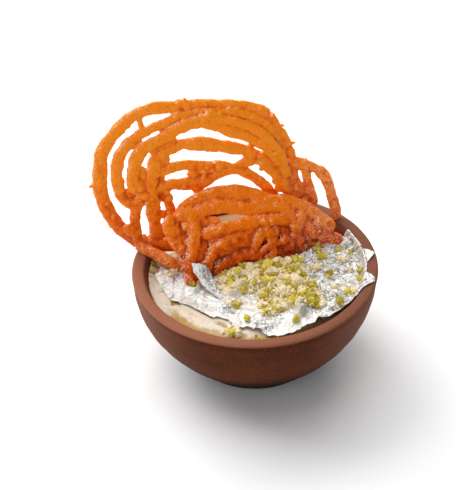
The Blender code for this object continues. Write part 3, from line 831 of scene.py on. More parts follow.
def piping_tree(material, facing):
    """Sweep strands along paths and press them flat along the facing direction.

    Step, Wander and Sink are in metres, Swell, Press, Bulk and Bead are shares of the strand's or
    the bead's own size, and Lumps is the number of beads to a square metre.
    """
    net = Grower("piping", Step=0.0011, Wander=0.0011, Swell=0.32, Press=0.4, Lumps=9000.0,
                 Bead=1.3, Sink=0.0006, Bulk=1.0, Seed=1.0)
    path = net.node("GeometryNodeResampleCurve", {"mode": "LENGTH"},
                    {"Curve": net.start, "Length": net.size("Step")})
    drift = net.vector("SUBTRACT", net.wobble(11.0, net.size("Seed"), 1), (0.5, 0.5, 0.5))
    path = net.moved(path, net.scaled(drift, net.size("Wander") * 2.0))
    swell = (net.wobble(5.0, net.size("Seed") + 3.0) - 0.5) * net.size("Swell") * 2.0
    thickness = net.node("GeometryNodeInputRadius") * (swell + net.size("Bulk"))
    place = net.node("GeometryNodeInputPosition")
    path = net.keep(path, "middle", place, "FLOAT_VECTOR")
    section = net.node("GeometryNodeCurvePrimitiveCircle", None, {"Resolution": 14, "Radius": MM})
    tube = net.node("GeometryNodeCurveToMesh", None,
                    {"Curve": path, "Profile Curve": section, "Scale": thickness,
                     "Fill Caps": True})
    from_middle = net.vector("SUBTRACT", place, net.kept("middle", "FLOAT_VECTOR"))
    away = net.vector("DOT_PRODUCT", from_middle, tuple(facing), out=1)
    tube = net.moved(tube, net.scaled(tuple(facing), away * net.size("Press") * -1.0))
    spots = net.node("GeometryNodeDistributePointsOnFaces", {"distribute_method": "RANDOM"},
                     {"Mesh": tube, "Density": net.size("Lumps")})
    outward = Value(net, spots.socket.node.outputs["Normal"])
    spots = net.moved(spots, net.scaled(outward, net.size("Sink") * -1.0))
    bead = net.node("GeometryNodeMeshIcoSphere", None, {"Radius": MM, "Subdivisions": 2})
    chance = net.chance()
    bulk = chance * chance * net.size("Bead") + SMALLEST_BEAD
    beads = net.node("GeometryNodeInstanceOnPoints", None,
                     {"Points": spots, "Instance": bead, "Scale": bulk})
    both = net.tree.nodes.new("GeometryNodeJoinGeometry")
    for part in (tube, beads):
        net.tree.links.new(part.socket, both.inputs[0])
    net.end(Value(net, both.outputs[0]), material)
    return net


print("piping tree ready")

# %% Paths for the strands
def bend(a, b, c, d, t):
    """A smooth line from b to c, with a before it and d after it; t goes from 0 to 1."""
    return (b + 0.5 * t * (c - a) + 0.5 * t * t * (2 * a - 5 * b + 4 * c - d)
            + 0.5 * t**3 * (3 * b - a - 3 * c + d))


def through(places, steps=6):
    """Points along a smooth line through a few places."""
    pts = [np.array((*place, 0.0)[:3], float) for place in places]
    pts = [2 * pts[0] - pts[1], *pts, 2 * pts[-1] - pts[-2]]
    line = []
    for a, b, c, d in zip(pts, pts[1:], pts[2:], pts[3:]):
        line += [bend(a, b, c, d, i / steps) for i in range(steps)]
    return [*line, pts[-2]]


def paths(name, face, routes):
    """A curve object with one path for each strand; the radius is in mm."""
    data = bpy.data.curves.new(name, "CURVE")
    data.dimensions = "3D"
    for size, places in routes:
        sizes = size if isinstance(size, tuple) else (size,)
        line = [on_face(face, *point) for point in through(places)]
        radii = np.interp(np.linspace(0, len(sizes) - 1, len(line)), range(len(sizes)), sizes)
        spline = data.splines.new("POLY")
        spline.points.add(len(line) - 1)
        for step, point in enumerate(line):
            to_end = min((point - line[0]).length, (point - line[-1]).length)
            spline.points[step].co = (*(point * MM), 1.0)
            spline.points[step].radius = radii[step] * min(1.0, 0.3 + to_end / radii[step]) ** 0.5
    return add_object(name, data)


print("a path through 3 places has", len(through(((0, 0), (1, 0), (2, 1)))), "points")

# %% [markdown]
# ## Fusing and crusting
#
# Where wet loops touch they become one body. A voxel Remesh does the same thing: it throws away the
# tubes and keeps one skin around all of them, with a crease where two strands meet. A second tree
# then raises the crust along its own normals: broad swellings, small blisters and a sandy grain. It
# also keeps how hollow each point is, which is how far the skin round it lies above it, so that the
# finish can paint shade into the creases and light onto the ridges.

# %% The crust tree
# The size of the blocks that the strands are fused from, in mm.
VOXEL = 0.38
MOST_TRIANGLES = 190000


def crust_tree(material):
    """Raise a crust on a fused shape; Swelling, Blisters and Grain are heights in metres."""
    net = Grower("crust", Swelling=0.0006, Blisters=0.0004, Grain=0.00016, Seed=2.0)
    seed = net.size("Seed")
    swelling = (net.wobble(3.2, seed) - 0.5) * net.size("Swelling") * 2.0
    grain = (net.wobble(0.75, seed + 5.0) - 0.5) * net.size("Grain") * 2.0
    sockets = {"Scale": 1.0 / (2.1 * MM), "W": seed}
    dome = net.node("ShaderNodeTexVoronoi", {"voronoi_dimensions": "4D"}, sockets)
    blisters = (1.0 - dome.step(0.1, 0.5)) * net.wobble(6.0, seed + 9.0).step(0.5, 0.62)
    height = swelling + grain + blisters * net.size("Blisters")
    normal = net.node("GeometryNodeInputNormal")
    shape = net.moved(net.start, net.scaled(normal, height))
    place = net.node("GeometryNodeInputPosition")
    average = net.node("GeometryNodeBlurAttribute", {"data_type": "FLOAT_VECTOR"},
                       {"Value": place, "Iterations": 22})
    hollow = net.vector("DOT_PRODUCT", net.vector("SUBTRACT", average, place), normal, out=1)
    shape = net.keep(shape, "hollow", hollow * (1 / MM))
    smooth = net.node("GeometryNodeSetShadeSmooth", None, {0: shape})
    net.end(smooth, material)
    return net


def fry(name, face, routes, material, seed, melt, **sizes):
    """Pipe the routes, fuse them and raise a crust; melt fills the creases between strands."""
    facing, _ = front_of(face)
    draft = paths(name + "_paths", face, routes)
    piping_tree(material, facing).attach(draft, Seed=seed, **sizes)
    draft = plain_mesh(draft, name + "_strands")
    fuse = draft.modifiers.new("Fuse", "REMESH")
    fuse.mode = "VOXEL"
    fuse.voxel_size = VOXEL * MM
    soften = draft.modifiers.new("Soften", "SMOOTH")
    soften.factor = 0.5
    soften.iterations = melt
    crust_tree(material).attach(draft, Seed=seed + 1.0)
    draft = plain_mesh(draft, name + "_fine")
    thin_out = draft.modifiers.new("Thin out", "DECIMATE")
    thin_out.ratio = min(1.0, MOST_TRIANGLES / (2 * len(draft.data.polygons)))
    return plain_mesh(draft, name)


print("crust tree ready")

# %% [markdown]
# ## Fried, soaked batter
#
# Syrup makes the batter clear enough to glow: light enters, spreads and leaves orange. High parts
# are brighter and the low parts are soaked a deeper red-orange. Painted light and shade add to
# this: ridges and parts that stand forward are painted brighter, and sunken parts and parts lying
# back a deep red-orange. On faces that look up and to the left, and along the front of the
# right-hand side, a painted highlight of pale specks stands for light catching the strands. It
# needs no camera: it is found from the direction that the surface itself faces. Tiny pale orange
# specks are strewn everywhere, and the creases are darkest, which is painted shade.

# %% Fried finish
# The direction of the faces that get the painted highlight.
HIGHLIGHT_SIDE = (-0.68, -0.28, 0.68)


def fried_finish(name, face, bright, middle, deep, low, high):
    """Three colours that follow the height from low to high, in mm, and painted light and shade from
    how far forward a part lies and the shape of the crust.
    """
    fried = Finish(name, Specular_IOR_Level=0.12, Specular_Tint=(1.0, 0.72, 0.45, 1.0),
                   Coat_Weight=0.12, Coat_Roughness=0.1, Coat_Tint=(1.0, 0.9, 0.8, 1.0),
                   Subsurface_Weight=0.35, Subsurface_Radius=(1.0, 0.22, 0.03),
                   Subsurface_Scale=0.0018)
    cloud = fried.noise(7.0, 2.0, 1.0)
    patch = fried.noise(2.4, 3.0, 2.0)
    grain = fried.noise(0.62, 2.0, 3.0)
    forward, foot = front_of(face)
    depth = fried.vector("DOT_PRODUCT", fried.place, tuple(forward), out=1)
    relief = (depth - forward.dot(foot) * MM).step(-3.0 * MM, 3.2 * MM)
    height = fried.axis(2).step(low * MM, high * MM)
    ridge = 1.0 - fried.attribute("hollow").step(-0.3, 0.35)
    # Painted light and shade: ridges and parts lying forward are brighter, creases and parts lying back
    # deeper red; the height gives the deeper soaking low down.
    tone = (height * 0.55 + relief * 0.3 + ridge * 0.5 + cloud * 0.4 + patch * 0.4 - 0.6).step(0, 1)
    colour = fried.blend(tone.step(0.0, 0.55), srgb(deep), srgb(middle))
    colour = fried.blend(tone.step(0.45, 1.0), colour, srgb(bright))
    normal = fried.node("ShaderNodeNewGeometry", out="Normal")
    facing = fried.vector("DOT_PRODUCT", normal, HIGHLIGHT_SIDE, out=1)
    colour = fried.blend((1.0 - grain.step(0.3, 0.5)) * 0.35, colour, srgb(deep))
    specks = grain.step(0.49, 0.57) * 0.92 + 0.08
    # Painted highlight: pale specks on faces turned up and to the left, and on the front of the
    # right-hand side.
    right_highlight = fried.axis(0).step(10.0 * MM, 30.0 * MM) * relief.step(0.35, 0.75) * 0.6
    painted_highlight = (facing.step(0.42, 0.84) * relief.step(0.05, 0.4) + right_highlight) * specks
    painted_highlight = painted_highlight * patch.step(0.3, 0.55)
    # Tiny pale orange specks everywhere, stronger toward the back.
    pale_specks = fried.noise(0.34, 2.0, 4.0).step(0.6, 0.66) * (1.0 - relief * 0.5) * 0.7
    colour = fried.blend(painted_highlight, colour, srgb("FCCAA6"))
    colour = fried.blend(pale_specks, colour, srgb("F8A868"))
    # Painted shade in the creases.
    crease_shade = fried.attribute("hollow").step(0.1, 0.8) * 0.6
    colour = fried.blend(crease_shade, colour, srgb("7A2204"))
    fried.feed("Base Color", colour)
    fried.feed("Roughness", 0.3 + grain * 0.16)
    fried.relief(grain * 1.6 + patch, 0.25)
    return fried.material


rear_finish = fried_finish("fried_rear_finish", REAR_FACE, "FF961A", "EC6C06", "C44A02", 30, 100)
front_finish = fried_finish("fried_front_finish", FRONT_FACE, "FF840A", "E05602", "902800", 38, 63)
rear_jalebi = fry("rear_jalebi", REAR_FACE, rear_routes, rear_finish, 3.0, 3, Press=0.52, Swell=0.38)
front_jalebi = fry("front_jalebi", FRONT_FACE, front_routes, front_finish, 8.0, 12, Bulk=1.12,
                   Press=0.5)
for jalebi in (rear_jalebi, front_jalebi):
    count_faces(jalebi)

# %% [markdown]
# ## Silver leaf
#
# The leaf is beaten so thin that it has no stiffness. It drops on the cream and takes hundreds of
# sharp creases, it stands up where it was pushed together, and it tears at its edges. A sheet that
# lies on something is a height for every place. So the leaf is a fine grid cut to an outline, and
# its height is made of flat facets at three sizes, narrow creases between them and a few folds. The
# left part lies quietly, and the right part and a few pushed places are busy with fine facets. How
# deep each point is in a crease, and which faces turn away from the light, is kept on the mesh,
# because the finish paints shade into the creases and onto those faces.

# %% Leaf outline
LEAF_MIDDLE = (8.0, -10.0)
LEAF_THICKNESS = 0.07
LEAF_GRID = 0.27
# Distance from the middle to the torn edge at each half hour, from 12 o'clock.
LEAF_OUTLINE = (20, 18, 24, 45, 45, 45, 45, 42, 36, 29.7, 27.3, 28, 28.5, 26.5, 26.5, 27, 29, 35, 44.5,
                48, 45, 38, 30, 24)


def at_hour(table, angle):
    """Smooth value between numbers spread round a clock; the angle is clockwise from 12."""
    count = len(table)
    place = (angle / (2 * math.pi) * count) % count
    hour = int(place)
    t = place - hour
    return bend(*(table[(hour + k) % count] for k in (-1, 0, 1, 2)), t)


def hump(value, middle, width):
    """1 at the middle, falling off smoothly over the width."""
    return math.exp(-(((value - middle) / width) ** 2))


def spots(table, x, y):
    """1 near a place in the table and 0 away from all of them; each is a place and a size."""
    return sum(hump(math.hypot(x - sx, y - sy), 0.0, size) for sx, sy, size in table)


def leaf_reach(angle):
    """Distance from the leaf's middle to its torn edge; two flaps lie over the rim."""
    degrees = math.degrees(angle) % 360
    limit = 43.9 + 4.1 * hump(degrees, 93, 5.5) + 4.0 * hump(degrees, 69, 4.5)
    limit -= 1.5 * ease(118, 128, degrees)
    across, up = math.sin(angle), math.cos(angle)
    toward = LEAF_MIDDLE[0] * across + LEAF_MIDDLE[1] * up
    spare = limit**2 - LEAF_MIDDLE[0] ** 2 - LEAF_MIDDLE[1] ** 2
    wall = math.sqrt(toward**2 + spare) - toward
    tear = 1.3 * flow(30 * across, 30 * up, 4.5, 11.0) + 0.4 * flow(30 * across, 30 * up, 1.5, 12.0)
    return min(at_hour(LEAF_OUTLINE, angle) + 1.5 * tear, wall + 0.5 * tear)


def on_leaf(dx, dy):
    """Whether a place is on the leaf; dx and dy are measured from the leaf's middle."""
    return math.hypot(dx, dy) < leaf_reach(math.atan2(dx, dy))


print("leaf reaches", round(leaf_reach(math.radians(93)), 1), "mm to the right")

# %% Folds of the leaf
FOLDS = (  # start, end, height at each, width on the left and on the right of the line
    ((-24.0, -12.0), (-20.0, -6.0), 1.6, 2.6, 1.4, 1.2),
    ((-10.5, -13.6), (-3.5, -9.5), 2.2, 1.6, 0.9, 0.7),
    ((15.8, -22.0), (21.5, -31.0), 4.2, 1.8, 5.0, 1.2),
    ((-34.0, -15.3), (-28.8, -16.6), 0.7, 0.9, 0.6, 0.5),
    ((24.0, 1.5), (36.0, -0.5), 1.1, 0.8, 0.7, 1.6),
    ((27.0, -3.0), (37.0, -10.5), 1.4, 0.8, 0.8, 1.6),
    ((23.0, -5.0), (33.0, -10.5), 1.0, 1.0, 0.7, 1.3),
    ((28.0, -25.5), (35.0, -19.5), 1.3, 0.9, 0.8, 1.6),
)


def fold(x, y, start, end, high, low, left, right):
    """Height of one standing fold at a place."""
    line = (end[0] - start[0], end[1] - start[1])
    length = math.hypot(*line)
    dx, dy = x - start[0], y - start[1]
    along = (dx * line[0] + dy * line[1]) / length**2
    side = (line[0] * dy - line[1] * dx) / length
    width = left if side > 0 else right
    ends = ease(-0.08, 0.1, along) * (1 - ease(0.8, 1.1, along))
    height = high + (low - high) * min(max(along, 0.0), 1.0)
    return height * ends * max(0.0, 1 - abs(side) / width)


print("one fold is", round(fold(-21, -7.5, *FOLDS[0]), 2), "mm high near its top")

# %% Facets and creases
# How wide a crease is, in mm.
CREASE = 0.36
# Leaning squares by this much makes their halves equal-sided triangles.
SKEW = 0.366
# Faces of the leaf that turn away from the light: place and size.
DULL_FACES = ((18.5, -27.0, 2.8), (21.2, -24.2, 2.2), (-21.5, -7.5, 2.2), (29.0, -26.0, 2.0),
              (-30.5, -1.5, 1.2), (26.5, 10.5, 1.8), (-32.6, -16.3, 0.8), (-31.0, -16.6, 0.8),
              (-11.7, -22.2, 1.2), (-8.5, -24.6, 1.1))
# Places where it was pushed together: place and size.
PUSHED = ((3.0, -33.0, 9.0), (-11.0, -22.0, 4.5), (-33.0, -1.0, 8.0))


def facets(x, y, size, turn, seed):
    """Height of flat facets, and how deep the place is in a crease along a facet's edge."""
    u = (x * math.cos(turn) - y * math.sin(turn)) / size
    v = (x * math.sin(turn) + y * math.cos(turn)) / size
    u, v = u + SKEW * (u + v), v + SKEW * (u + v)
    i, j = math.floor(u), math.floor(v)
    u, v = u - i, v - j
    corners = ((i, j), (i + 1, j) if u > v else (i, j + 1), (i + 1, j + 1))
    shares = (1 - max(u, v), abs(u - v), min(u, v))
    heights = (0.5 + 0.5 * noise.cell(Vector((*corner, seed))) for corner in corners)
    line = 0.0
    for k, share in enumerate(shares):
        first, second = corners[k - 1], corners[k - 2]
        sharp = noise.cell(Vector((first[0] + second[0], first[1] + second[1], seed + 30)))
        if sharp > 0.3:
            line = max(line, 1 - 0.7 * share * size / CREASE)
    return sum(share * height for share, height in zip(shares, heights)), line


def crumple(x, y):
    """Height of the creased sheet above what it lies on, and the painted shade of its crease there."""
    warp_x, warp_y = 1.6 * flow(x, y, 6.0, 15.0), 1.6 * flow(x, y, 6.0, 16.0)
    busy = max(0.32 + 0.68 * ease(-8.0, 22.0, x + 0.4 * y), spots(PUSHED, x, y))
    broad, broad_line = facets(x + warp_x, y + warp_y, 6.5, 0.3, 1.0)
    middle, middle_line = facets(0.75 * x + warp_y, 1.3 * y - warp_x, 2.9, 0.2, 5.0)
    fine, fine_line = facets(0.7 * x - warp_x, 1.3 * y + warp_y, 1.5, 0.1, 9.0)
    line = max(max(0.7, 0.9 * busy) * broad_line, busy * middle_line, 0.9 * busy * busy * fine_line)
    height = 1.5 * broad * (0.55 + 0.45 * busy) + 1.35 * busy * middle
    height += 0.5 * busy * busy * fine - 0.3 * line
    folds = sum(fold(x, y, *each) for each in FOLDS)
    return height + folds, max(line, min(0.7, spots(DULL_FACES, x, y)))


print("height of the creased sheet where it was pushed", round(crumple(3, -33)[0], 2), "mm")

# %% Height of the leaf
WALL_CLIMB = 4.6


def wall_top(radius):
    """Height of the clay under the leaf, from the inner wall over the rim."""
    if radius < RIM_INNER:
        return RABRI_LEVEL + WALL_CLIMB * ease(41.6, RIM_INNER, radius)
    across = abs(radius - 0.5 * (RIM_INNER + RIM_RADIUS)) / (0.5 * (RIM_RADIUS - RIM_INNER))
    return BOWL_HEIGHT + RIM_ROUND * (max(0.0, 1 - across**2.4) ** 0.7 - 1)


def leaf_height(x, y):
    """It lies on the higher of cream and clay, bridges the place where the cream has drawn away
    from the wall, and its edge is lifted a little there.
    """
    radius = math.hypot(x, y)
    over = wall_top(radius) + x * RIM_TILT + 0.25
    quiet = 1 - 0.75 * ease(42.0, 44.0, radius)
    degrees = math.degrees(math.atan2(x - LEAF_MIDDLE[0], y - LEAF_MIDDLE[1])) % 360
    lifted = 1.2 * hump(degrees, 142, 18) * ease(31.0, 40.0, radius)
    lifted += 2.4 * drawn_away(x, y)
    return max(rabri_height(x, y) + 0.15, over) + crumple(x, y)[0] * quiet + lifted


print("leaf height at its middle", round(leaf_height(*LEAF_MIDDLE), 1), "mm")

# %% [markdown]
# One end of the leaf never came down. It leans on the foot of the front jalebi as a bent strap that
# narrows toward the cream. A height for every place cannot stand upright, so the strap is drawn as
# three lines from top to bottom, its two edges and the ridge between, and filled in across.

# %% The bent strap
STRAP = (
    ((-25.0, -3.8, 45.0), (-23.6, -6.8, 42.4), (-21.5, -9.6, 40.0), (-18.4, -12.6, 38.6),
     (-14.0, -15.8, 37.6)),
    ((-21.6, -5.0, 45.6), (-20.3, -8.1, 42.6), (-18.6, -10.6, 40.6), (-16.5, -13.0, 39.2),
     (-13.6, -16.3, 37.8)),
    ((-18.2, -4.2, 43.6), (-17.5, -6.4, 41.2), (-16.2, -9.0, 39.5), (-14.6, -12.0, 38.4),
     (-13.1, -15.7, 37.4)),
)


def strap_points(lines, steps=9, across=7):
    """Rows of points from one line to the next, shaken a little, how dark each is painted as shade
    in its creases, and how many there are in a row. The half that turns away from the light is painted
    dark where it sinks in.
    """
    rows = [through(line, steps) for line in lines]
    points, strap_shades = [], []
    for first, second in zip(rows, rows[1:]):
        for share in range(across + (second is rows[-1])):
            for step, (a, b) in enumerate(zip(first, second)):
                x, y, z = a + (b - a) * share / across
                left = first is rows[0]
                shake, line = facets(share + 0.2 * step, 0.1 * step, 1.1, 0.0, 3.0 + left)
                points.append((x + 0.5 * shake, y + 0.8 * shake, z + 0.8 * shake))
                # Painted shade: creases, some facets and the low places of the half turned from the
                # light are dark.
                strap_shades.append(0.7 * max(line, shake > 0.75, first is rows[1] and shake < 0.4))
    return points, strap_shades, len(rows[0])


print("strap points", len(strap_points(STRAP)[0]))

# %% Leaf sheet
def leaf_sheet(name, step):
    """A grid cut to the outline; points past the torn edge are drawn back to it."""
    places, verts, faces = {}, [], []

    def corner(i, j):
        if (i, j) not in places:
            dx, dy = i * step, j * step
            pull = min(1.0, leaf_reach(math.atan2(dx, dy)) / max(math.hypot(dx, dy), step))
            x, y = LEAF_MIDDLE[0] + dx * pull, LEAF_MIDDLE[1] + dy * pull
            places[(i, j)] = len(verts)
            verts.append((x, y, leaf_height(x, y)))
        return places[(i, j)]

    reach = int(50 / step)
    for i in range(-reach, reach):
        for j in range(-reach, reach):
            dx, dy = (i + 0.5) * step, (j + 0.5) * step
            if on_leaf(dx, dy):
                faces.append((corner(i, j), corner(i + 1, j), corner(i + 1, j + 1), corner(i, j + 1)))
    start = len(verts)
    points, dark, length = strap_points(STRAP)
    for row in range(len(points) // length - 1):
        for k in range(start + row * length, start + row * length + length - 1):
            faces.append((k, k + 1, k + length + 1, k + length))
    mesh = mesh_in_mm(name, verts + points, faces)
    keep_values(mesh, "crease_shade", [crumple(x, y)[1] for x, y, _ in verts] + dark)
    return add_object(name, mesh)


leaf = leaf_sheet("leaf_sheet", LEAF_GRID)
thin = leaf.modifiers.new("Thin", "SOLIDIFY")
thin.thickness = LEAF_THICKNESS * MM
thin.offset = 0.0
leaf = plain_mesh(leaf, "leaf")
count_faces(leaf)

# %% Leaf finish
silver = Finish("silver_finish", Metallic=0.3, Roughness=0.3)
bare = silver.blend(silver.noise(3.0, 3.0, 1.0), srgb("DDDDD8"), srgb("F2F4F2"))
# Painted shade: creases and faces turned away from the light are darkened.
painted_crease_shade = silver.attribute("crease_shade").step(0.25, 0.95)
silver.feed("Base Color", silver.blend(painted_crease_shade * 0.9, bare, srgb("5E4E42")))
silver.feed("Roughness", 0.24 + silver.noise(1.2, 2.0, 2.0) * 0.16)
silver.relief(silver.noise(0.6, 2.0, 3.0), 0.05)
leaf.data.materials.append(silver.material)
print("silver nodes", len(silver.tree.nodes))

# %% [markdown]
# ## Chopped pistachio
#
# The heap is thousands of chips: yellow-green from the outside of the nut, cream from its middle,
# and dust. They all lie on the same ground, so one ground surface is built, which is not kept, with
# a value for each kind that says how thickly it is strewn there. One Geometry Nodes tree then strews
# any kind: points on the ground, a rough ball on each point, turned and sized at random, and noise
# that breaks each ball into a chip of its own shape. The knife leaves every size, so each colour is
# strewn as round chunks and as many more small chips, which are lifted so that they lie on top. Dust
# fills what is left, and a few orange crumbs fell off the jalebi.

# %% The heap
HEAP_MIDDLE = LEAF_MIDDLE
# Distance from the middle to the heap's edge at each half hour.
HEAP_OUTLINE = (18, 17, 21, 17, 15, 14.5, 16, 18, 21, 20, 14, 14, 17, 18, 13, 10, 9, 11, 20, 23, 23, 20,
                17, 17.5)


def inside_heap(x, y):
    """Depth inside the heap's edge in mm, negative outside it."""
    dx, dy = x - HEAP_MIDDLE[0], y - HEAP_MIDDLE[1]
    return at_hour(HEAP_OUTLINE, math.atan2(dx, dy)) - math.hypot(dx, dy)


def over_leaf(x, y):
    return on_leaf(x - LEAF_MIDDLE[0], y - LEAF_MIDDLE[1])


def heap_height(x, y):
    """Height of the heap above what it lies on, with lumps at two sizes."""
    rise = ease(-1.0, 9.0, inside_heap(x, y))
    return rise * (2.8 + 1.8 * flow(x, y, 6.0, 21.0) + 1.5 * ease(-0.1, 0.5, flow(x, y, 3.2, 22.0)))


def ground_height(x, y):
    base = leaf_height(x, y) if over_leaf(x, y) else rabri_height(x, y)
    return base + heap_height(x, y)


print("heap height near its middle", round(heap_height(*HEAP_MIDDLE), 1), "mm")

# %% Where each kind lies
# Separate clusters outside the heap and its greenest places: place and size in mm.
GREEN_SPOTS = ((-4.8, 1.6, 1.8), (-9.7, -7.4, 1.8), (-12.9, -3.6, 1.6), (16.0, 4.4, 2.8),
               (16.9, -3.9, 1.8), (8.4, -0.5, 1.6), (13.0, -4.4, 2.0), (7.0, -9.8, 1.8),
               (3.8, -17.7, 2.8), (22.1, -12.2, 1.8), (22.1, -21.3, 3.2), (15.3, -18.6, 1.4),
               (-4.5, -13.1, 1.1), (-7.4, -21.2, 1.1), (-3.6, -29.0, 1.0), (4.8, -26.6, 0.9),
               (8.6, -25.3, 1.0), (15.1, -30.2, 1.4), (32.8, -23.1, 1.2), (36.4, -13.8, 1.4),
               (38.4, -17.6, 1.0), (29.1, -4.6, 1.3), (41.5, -8.5, 1.1), (41.5, -1.9, 1.2),
               (27.3, 7.2, 1.8), (38.4, 10.1, 1.0), (34.2, 13.2, 1.0), (25.6, 12.5, 1.4),
               (-8.7, -34.9, 1.9), (0.5, -39.0, 1.5), (-40.8, 2.4, 0.7), (-40.6, 8.0, 0.7),
               (-24.0, -7.5, 1.0))
PALE_SPOTS = ((4.9, 1.6, 2.4), (0.4, -7.7, 2.6), (11.5, -13.7, 3.0), (15.2, -19.8, 2.8),
              (4.0, -26.0, 2.2), (34.8, 6.3, 2.2), (36.9, 0.5, 1.5), (31.4, -11.8, 1.5),
              (23.9, 0.9, 1.5), (-10.5, -10.5, 2.4), (-14.4, -8.5, 1.6), (-7.8, -18.5, 2.2),
              (28.3, 3.3, 1.4), (-33.5, -1.0, 2.2), (-29.7, 2.7, 1.8), (-8.7, -34.9, 2.4),
              (-9.7, -20.2, 1.5), (36.4, -13.8, 2.2))
CRUMB_SPOTS = ((-36.0, 0.5, 2.2), (-33.0, -2.0, 2.2), (25.0, 7.0, 2.0))

# Each cover below says how thickly one kind lies at a place, from 0 to 1.


def green_cover(x, y):
    clump = ease(-0.05, 0.35, flow(x, y, 5.5, 23.0))
    heap = 0.35 * ease(0.0, 3.0, inside_heap(x, y)) * clump
    return min(1.0, heap + 1.4 * max(0.0, spots(GREEN_SPOTS, x, y) - 0.25))


def pale_cover(x, y):
    heap = ease(-1.0, 2.0, inside_heap(x, y)) * (1 - 0.8 * min(1.0, spots(GREEN_SPOTS, x, y)))
    return min(1.0, 0.8 * heap + max(0.0, spots(PALE_SPOTS, x, y) - 0.2))


def dust_cover(x, y):
    heap = 0.6 * ease(-3.0, 1.0, inside_heap(x, y))
    return min(1.0, heap + 0.5 * spots(PALE_SPOTS, x, y) + 0.02 * over_leaf(x, y))


def crumb_cover(x, y):
    return min(1.0, spots(CRUMB_SPOTS, x, y))


print("green cover at its first place", round(green_cover(*GREEN_SPOTS[0][:2]), 2))

# %% Ground to strew on
GROUND_RADIUS = 41.6


def ground(covers, rings=96, sectors=240):
    """A round ground that follows cream, leaf and heap, with a value for each kind on it."""
    verts = [(0.0, 0.0, ground_height(0.0, 0.0))]
    for ring in range(1, rings + 1):
        for sector in range(sectors):
            angle = 2 * math.pi * sector / sectors
            radius = GROUND_RADIUS * ring / rings
            x, y = radius * math.cos(angle), radius * math.sin(angle)
            verts.append((x, y, ground_height(x, y)))
    mesh = mesh_in_mm("ground", verts, disc_faces(rings, sectors))
    for name, cover in covers.items():
        keep_values(mesh, name, [cover(x, y) for x, y, _ in verts])
    return mesh


strewn_ground = ground({"green": green_cover, "pale": pale_cover, "dust": dust_cover,
                        "crumb": crumb_cover})
print("ground faces", len(strewn_ground.polygons))

# %% The strewing tree
# How far, in metres, a fully broken chip's points are thrown about.
FULL_BREAK = 0.0016


def strewing_tree(cover, material, roundness):
    """Chips on the ground, as many as the named cover says."""
    net = Grower("strewing_" + cover, Density=1e6, Smallest=0.0005, Largest=0.001, Break=0.9,
                 Lift=0.2, Seed=1.0)
    seed = net.node("FunctionNodeFloatToInt", None, [net.size("Seed")])
    amount = net.kept(cover) * net.size("Density")
    points = net.node("GeometryNodeDistributePointsOnFaces", {"distribute_method": "RANDOM"},
                      {"Mesh": net.start, "Density": amount, "Seed": seed})
    ball = net.node("GeometryNodeMeshIcoSphere", None, {"Radius": 1.0, "Subdivisions": roundness})
    turn = net.chances(0.0, 6.28, seed)
    skew = net.chances(0.5, 1.4, seed)
    chance = net.chance(seed)
    size = net.size("Smallest") + (net.size("Largest") - net.size("Smallest")) * chance * chance
    chips = net.node("GeometryNodeInstanceOnPoints", None,
                     {"Points": points, "Instance": ball, "Rotation": turn,
                      "Scale": net.scaled(skew, size)})
    lift = net.node("ShaderNodeCombineXYZ", None, {2: size * net.size("Lift")})
    chips = net.node("GeometryNodeTranslateInstances", {}, {0: chips, "Translation": lift,
                                                           "Local Space": False})
    chips = net.keep(chips, "tone", net.chance(), domain="INSTANCE")
    chips = net.node("GeometryNodeRealizeInstances", None, [chips])
    broken = net.vector("SUBTRACT", net.wobble(0.9, net.size("Seed"), 1), (0.5, 0.5, 0.5))
    chips = net.moved(chips, net.scaled(broken, net.size("Break") * FULL_BREAK))
    net.end(net.node("GeometryNodeSetShadeSmooth", None, {0: chips, 2: False}), material)
    return net


def strew(name, cover, material, roundness, **sizes):
    """Strew one kind; roundness is how often its balls are subdivided."""
    source = add_object(name + "_ground", strewn_ground)
    strewing_tree(cover, material, roundness).attach(source, **sizes)
    made = plain_mesh(source, name)
    count_faces(made)
    return made


# %% Nut finishes and the heap
def nut_finish(name, dark, light, spot):
    """Matt and mealy; each chip has its own tone between dark and light, with paler spots."""
    nut = Finish(name, Roughness=0.62)
    tone = nut.attribute("tone") * 0.7 + nut.noise(1.1, 3.0, 1.0) * 0.5 - 0.1
    colour = nut.blend(tone.step(0.0, 1.0), srgb(dark), srgb(light))
    colour = nut.blend(nut.noise(0.5, 2.0, 2.0).step(0.55, 0.75) * 0.5, colour, srgb(spot))
    nut.feed("Base Color", colour)
    nut.relief(nut.noise(0.35, 3.0, 3.0) + nut.noise(0.8, 2.0, 4.0), 0.4)
    return nut.material


green_finish = nut_finish("nut_green_finish", "A8920C", "ECD850", "F8ECA8")
crumb_finish = nut_finish("crumb_finish", "E87420", "FFA04C", "FFC898")
pale_finish = nut_finish("nut_pale_finish", "F6DEA4", "FFF6D8", "FFFDF4")
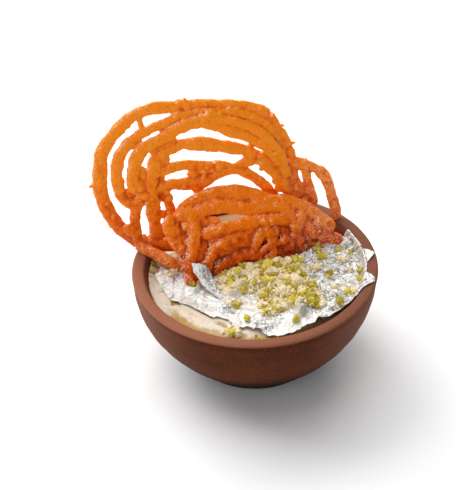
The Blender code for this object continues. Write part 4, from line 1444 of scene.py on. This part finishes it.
# Name, slot, cover, finish, roundness, number to a square metre, smallest and largest in mm,
# how far it is lifted for its size, how broken it is, seed.
KINDS = (
    ("green_chunks", "nuts", "green", green_finish, 3, 0.65e6, 0.8, 1.6, 0.75, 1.1, 4.0),
    ("green_chips", "nuts", "green", green_finish, 1, 4.0e6, 0.3, 0.7, 2.2, 0.5, 5.0),
    ("pale_chunks", "nuts", "pale", pale_finish, 3, 0.35e6, 0.7, 1.7, 0.35, 1.1, 9.0),
    ("pale_chips", "nuts", "pale", pale_finish, 1, 3.4e6, 0.3, 0.7, 1.2, 0.5, 10.0),
    ("nut_dust", "nuts", "dust", pale_finish, 1, 1.8e6, 0.12, 0.4, 0.6, 0.2, 14.0),
    ("fried_crumbs", "fried_front", "crumb", crumb_finish, 2, 0.1e6, 0.5, 1.1, 0.5, 0.5, 20.0),
)
strewn = []
for name, slot, cover, finish, roundness, density, smallest, largest, lift, broken, seed in KINDS:
    made = strew(name, cover, finish, roundness, Density=density, Smallest=smallest * MM,
                 Largest=largest * MM, Lift=lift, Break=broken, Seed=seed)
    strewn.append((made, slot, None))

# %% [markdown]
# ## The heart of the heap
#
# The chips only cover the heap. Under them is one closed mound, a little lower than the chips'
# tops, so that no gap shows between them.

# %% Heart of the heap
def heap_core(name, sectors=72, rings=24):
    """A lower and an upper disc over the heap's outline, joined round their rims."""
    verts, faces = [], []
    for side in (0, 1):
        for ring in range(rings + 1):
            for sector in range(sectors if ring else 1):
                angle = 2 * math.pi * sector / sectors
                reach = (at_hour(HEAP_OUTLINE, angle) - 0.6) * ring / rings
                x = HEAP_MIDDLE[0] + reach * math.sin(angle)
                y = HEAP_MIDDLE[1] + reach * math.cos(angle)
                base = leaf_height(x, y) - 0.25 - 0.5 * (1 - side)
                rise = heap_height(x, y) * 0.94 * side
                verts.append((x, y, base + rise))
    half = 1 + rings * sectors
    for start in (0, half):
        faces += disc_faces(rings, sectors, start)
    rim = 1 + (rings - 1) * sectors
    faces += [(rim + s, rim + (s + 1) % sectors, half + rim + (s + 1) % sectors, half + rim + s)
              for s in range(sectors)]
    return add_piece(name, verts, faces)


nut_core = heap_core("nut_core")
nut_core.data.materials.append(pale_finish)
count_faces(nut_core)

# %% [markdown]
# ## Pieces on one body
#
# Each piece rides on the one body. Its row also names the finish slot it belongs to and the plain
# solid it stands for, where it is the main piece for one, and that solid is hidden.

# %% Ride and replace
HAND_OVER = (
    (bowl, "clay", "clay_bowl"),
    (rabri, "cream", "rabri"),
    (rear_jalebi, "fried_rear", "jalebi_rear"),
    (front_jalebi, "fried_front", "jalebi_front"),
    (leaf, "silver", "silver_leaf"),
    (nut_core, "nuts", "pistachio_heap"),
    *strewn,
)
for piece, finish_slot, node in HAND_OVER:
    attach(piece, "root")
    if node:
        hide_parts(node)


print("pieces", len(HAND_OVER))
